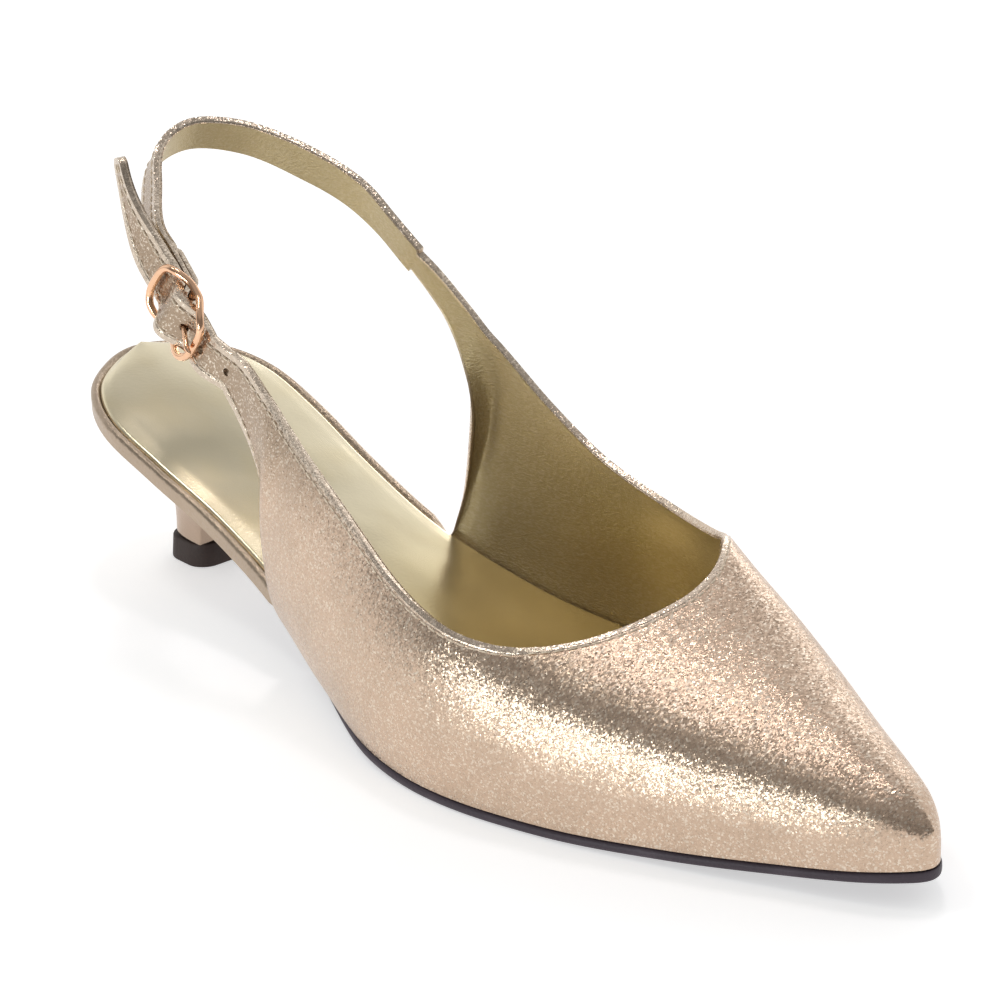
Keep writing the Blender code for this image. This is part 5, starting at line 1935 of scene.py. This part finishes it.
    def plan_seams(self, vamp: Grid, grids: dict) -> None:
        """Runs the stitch lines just inside the free edges."""
        lines = {"upper": [], "buckle_strap": [], "sling": []}
        inner = range(self.quads, len(vamp[0]) - self.quads)
        throat = self.seam_line([[row[c] for row in vamp[::-1]] for c in inner])
        for side, (rows, wing_count) in grids.items():
            strap = "buckle_strap" if side is Side.LATERAL else "sling"
            grid = [row.points for row in rows]
            top = self.seam_line([points[::-1] for points in grid])
            low = self.seam_line(grid)
            start = next(i for i, points in enumerate(grid)
                         if points[0].z > LAST.feather(points[0].y) + FIRST_STITCH)
            stop = self.last_stitch_row(rows, side)
            lines["upper"] += [top[:wing_count], low[start:wing_count]]
            lines[strap] += [top[wing_count:stop], low[wing_count:stop]]
        lines["upper"].append(throat)
        self.seams = lines

    def last_stitch_row(self, rows: list[Row], side: Side) -> int:
        """Row where a strap's stitching stops: before the tab's tip, or where the sling thins to its fold."""
        if side is Side.LATERAL:
            return len(rows) - 5
        return next(i for i, row in enumerate(rows) if row.wall < self.sheet_wall * 0.9) + 8

    @staticmethod
    def seam_line(across: Grid) -> list[Vector]:
        """Points of a stitch line at a fixed distance in from an edge.

        Args:
            across: For each place along the edge, the points from the edge inwards.

        Returns:
            One point for each place.
        """
        line = []
        for points in across:
            left = SEAM_INSET
            for a, b in zip(points, points[1:]):
                step = (b - a).length
                if step >= left:
                    break
                left -= step
            line.append(a + (b - a).normalized() * left)
        return line


# Stitches

@dataclass
class Stitching:
    """Rows of slightly sunk stitches, modelled once and copied along the seams."""

    pitch: float = 2.5 * MM
    length: float = 1.9 * MM
    radius: float = 0.2 * MM
    sink: float = 0.02 * MM
    dip: float = 0.12 * MM
    stand: float = 0.35

    def model(self) -> tuple[list[Vector], list[tuple[int, ...]]]:
        """One stitch: a short thread that dips at both ends.

        Returns:
            Its points, with the thread along x and up along z, and its faces.
        """
        Bench.deselect()
        bpy.ops.mesh.primitive_uv_sphere_add(segments=8, ring_count=6, radius=self.radius,
                                             rotation=(0.0, math.pi / 2, 0.0))
        obj = bpy.context.object
        Bench.settle(obj, "stitch")
        half = self.length / 2 - self.radius
        for vert in obj.data.vertices:
            vert.co.x += math.copysign(half, vert.co.x) if abs(vert.co.x) > 0.01 * MM else 0.0
            vert.co.z -= self.dip * (abs(vert.co.x) / (self.length / 2)) ** 2
        points = [v.co.copy() for v in obj.data.vertices]
        faces = [tuple(p.vertices) for p in obj.data.polygons]
        bpy.data.objects.remove(obj)
        return points, faces

    def sew(self, name: str, lines: Grid, surface: BVHTree) -> Object:
        """Copies the stitch along lines that lie on a surface.

        Args:
            name: The piece's name.
            lines: The seams, in the last's frame.
            surface: The leather's outer face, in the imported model's frame.

        Returns:
            All the stitches as one object.
        """
        points, faces = self.model()
        verts, polys = [], []
        for line in lines:
            lengths = running_lengths(line)
            count = int(lengths[-1] / self.pitch)
            for k in range(count):
                centre, along = self.spot(line, lengths, (k + 0.5) * lengths[-1] / count)
                foot, normal, _, _ = surface.find_nearest(centre + LAST.shift)
                side = normal.cross(along).normalized()
                along = side.cross(normal)
                lift = foot + normal * (self.radius * self.stand - self.sink)
                start = len(verts)
                verts += [lift + along * p.x + side * p.y + normal * p.z for p in points]
                polys += [tuple(start + i for i in face) for face in faces]
        data = bpy.data.meshes.new(name)
        data.from_pydata([tuple(v) for v in verts], [], polys)
        obj = Bench.link(name, data)
        Bench.smooth(obj, 60.0)
        return obj

    @staticmethod
    def spot(line: list[Vector], lengths: list[float], want: float) -> tuple[Vector, Vector]:
        """Point and direction of a line at a distance along it."""
        i = min(int(np.searchsorted(lengths, want, side="right")) - 1, len(line) - 2)
        a, b = line[i], line[i + 1]
        t = (want - lengths[i]) / max(lengths[i + 1] - lengths[i], 1e-9)
        return a.lerp(b, t), (b - a).normalized()


# Studio

@dataclass(frozen=True)
class Light:
    """A soft area light aimed at the shoe."""

    name: str
    direction: Triple
    distance: float
    size: Pair
    power: float
    color: Triple = (1.0, 1.0, 1.0)


LIGHTS = (
    Light("overhead_box", (0.22, 0.22, 0.95), 1.7, (0.22, 0.22), 3.4, (1.0, 0.95, 0.96)),
    Light("left_low_box", (-0.98, -0.02, 0.15), 1.4, (0.50, 0.10), 4.8, (0.92, 1.0, 1.02)),
    Light("left_high_box", (-0.22, 0.36, 0.90), 1.7, (0.25, 0.25), 2.0, (0.98, 1.0, 0.97)),
    Light("right_rim", (0.85, 0.50, 0.25), 1.6, (0.6, 0.4), 2.0),
)


@dataclass
class Studio:
    """Plain pale floor, soft lights and the camera."""

    target: Triple = (0.0, 0.0, 0.045)
    eye: Triple = (-0.44494, -0.54705, 0.3478)
    right: Triple = (0.736, -0.676, -0.019)
    up: Triple = (0.276, 0.274, 0.921)
    focal_px: float = 2838.5
    aim_px: Pair = (382.0, 527.0)
    zoom: float = 1.333
    frame_px: float = 1000.0
    sensor: float = 36.0
    floor_size: float = 12.0
    floor_color: Triple = (0.86, 0.86, 0.86)
    floor_glow: float = 0.50
    horizon: float = 0.60
    sky: float = 0.40
    front_sky: float = 0.21
    back_sky: float = 1.0
    back_direction: Triple = (0.66, 0.75, 0.0)
    back_span: Pair = (-0.10, 0.50)
    sky_span: Pair = (0.56, 0.84)
    horizon_span: Pair = (0.0, 0.12)
    lights: tuple[Light, ...] = LIGHTS

    def build_floor(self) -> None:
        """A wide flat floor with a faint glow of its own, so that it stays pale under the shoe."""
        Bench.deselect()
        bpy.ops.mesh.primitive_plane_add(size=self.floor_size, location=(0.0, 0.0, 0.0))
        floor = bpy.context.object
        Bench.settle(floor, "floor")
        recipe = Recipe("white_floor")
        recipe.set(Base_Color=(*self.floor_color, 1.0), Roughness=0.75, Specular_IOR_Level=0.2,
                   Emission_Color=(1.0, 1.0, 1.0, 1.0), Emission_Strength=self.floor_glow)
        floor.data.materials.append(recipe.material)
        floor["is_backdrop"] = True

    def build_lights(self) -> None:
        """The world's even light and the area lights."""
        scene = bpy.context.scene
        world = bpy.data.worlds.new("soft_world")
        world.use_nodes = True
        bench = NodeBench(world.node_tree)
        direction = bench.node("ShaderNodeTexCoord").outputs["Generated"]
        height = Signal(bench, bench.node("ShaderNodeSeparateXYZ", None, {0: direction}).outputs[2])
        facing = bench.node("ShaderNodeVectorMath", {"operation": "DOT_PRODUCT"},
                            {0: direction, 1: self.back_direction})
        behind = Signal(bench, facing.outputs["Value"]).ramp(*self.back_span)
        wall = behind * (self.back_sky - self.front_sky) + self.front_sky
        wall = wall + height.ramp(*self.sky_span) * (self.sky - wall)
        glow = wall + (1 - height.ramp(*self.horizon_span)) * (self.horizon - wall)
        background = world.node_tree.nodes["Background"]
        background.inputs[0].default_value = (1.0, 1.0, 1.0, 1.0)
        bench.feed(background.inputs[1], glow)
        scene.world = world
        target = Vector(self.target)
        for light in self.lights:
            data = bpy.data.lights.new(light.name, "AREA")
            data.shape = "RECTANGLE"
            data.size, data.size_y = light.size
            data.energy = light.power
            data.color = light.color
            obj = Bench.link(light.name, data)
            toward = Vector(light.direction).normalized()
            obj.location = target + toward * light.distance
            obj.rotation_mode = "QUATERNION"
            obj.rotation_quaternion = toward.to_track_quat("Z", "Y")
            obj.visible_camera = False
        scene.view_settings.view_transform = "Standard"
        scene.view_settings.look = "None"

    def build_camera(self) -> None:
        """The camera at the photograph's place, turned to the shoe."""
        right, up = Vector(self.right).normalized(), Vector(self.up).normalized()
        back = right.cross(up).normalized()
        up = back.cross(right)
        middle = self.frame_px / 2
        dx, dy = (self.aim_px[0] - middle) / self.focal_px, (middle - self.aim_px[1]) / self.focal_px
        toward = (right * dx + up * dy - back).normalized()
        back = -toward
        right = (right - back * right.dot(back)).normalized()
        up = back.cross(right)
        data = bpy.data.cameras.new("camera")
        data.sensor_width = self.sensor
        data.lens = self.focal_px * self.zoom / self.frame_px * self.sensor
        data.clip_start, data.clip_end = 0.01, 50.0
        camera = Bench.link("camera", data)
        camera.matrix_world = Matrix((
            (right.x, up.x, back.x, self.eye[0]),
            (right.y, up.y, back.y, self.eye[1]),
            (right.z, up.z, back.z, self.eye[2]),
            (0.0, 0.0, 0.0, 1.0)))
        bpy.context.scene.camera = camera

    def build(self) -> None:
        """Sets up the studio."""
        self.build_floor()
        self.build_lights()
        self.build_camera()


# The shoe

@dataclass
class Shoe:
    """The right shoe of the pair, standing empty on its sole."""

    finishes: Finishes
    buckle: Buckle = field(default_factory=Buckle)
    heel: Heel = field(default_factory=Heel)
    stitching: Stitching = field(default_factory=Stitching)

    def build(self) -> list[Piece]:
        """Builds and dresses all the pieces.

        Returns:
            The pieces, ready to be placed.
        """
        pieces = self.build_soles() + self.build_heel() + self.build_leather() + self.build_buckle()
        for piece in pieces:
            piece.place()
        return pieces

    @staticmethod
    def dress(obj: Object, *materials: Material) -> Object:
        """Gives an object its materials."""
        indexes = [p.material_index for p in obj.data.polygons]
        obj.data.materials.clear()
        for material in materials:
            obj.data.materials.append(material)
        last = len(materials) - 1
        obj.data.polygons.foreach_set("material_index", [min(i, last) for i in indexes])
        obj.data.update()
        return obj

    def build_soles(self) -> list[Piece]:
        """The outsole, the wrapped insole and the sock."""
        looks = ((Outsole(), self.finishes.outsole), (InsoleWrap(), self.finishes.wrap),
                 (Sock(), self.finishes.sock))
        made = [Piece(self.dress(part.build(), look), part.slot, part.nodes) for part, look in looks]
        return made

    def build_heel(self) -> list[Piece]:
        """The covered heel and its top piece."""
        cover = self.dress(self.heel.build_heel(), self.finishes.heel)
        top_piece = self.dress(self.heel.build_top_piece(), self.finishes.top_piece)
        return [Piece(cover, Slot.HEEL, ("heel",)), Piece(top_piece, Slot.TOP_PIECE, ("heel_tip",))]

    def build_leather(self) -> list[Piece]:
        """The upper, both straps and their stitches."""
        work = Leatherwork(self.buckle)
        leather = work.build()
        nodes = {"upper_leather": "upper", "buckle_strap_leather": "buckle_strap",
                 "sling_leather": "sling_strap"}
        made = [Piece(self.dress(obj, self.finishes.leather, self.finishes.lining), Slot.LEATHER,
                      (nodes[name],)) for name, obj in leather.items()]
        for name, lines in work.seams.items():
            stitches = self.stitching.sew(f"{name}_stitches", lines, work.surface)
            made.append(Piece(self.dress(stitches, self.finishes.thread), Slot.LEATHER))
        return made

    def build_buckle(self) -> list[Piece]:
        """The buckle's frame and prong."""
        wires = ((self.buckle.build_frame(), "buckle_frame"), (self.buckle.build_prong(), "buckle_prong"))
        return [Piece(self.dress(obj, self.finishes.metal), Slot.BUCKLE, (node,)) for obj, node in wires]


def write_sizes() -> None:
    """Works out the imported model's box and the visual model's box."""
    boxes = [[list(corner) for corner in box] for box in (CAD_BOX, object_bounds())]


def main() -> None:
    """Builds the shoe and its studio."""
    logging.basicConfig(level=logging.INFO, format="%(name)s: %(message)s")
    Studio().build()
    pieces = Shoe(Finishes()).build()
    log.info("%d pieces", len(pieces))
    write_sizes()


if __name__ == "__main__":
    main()
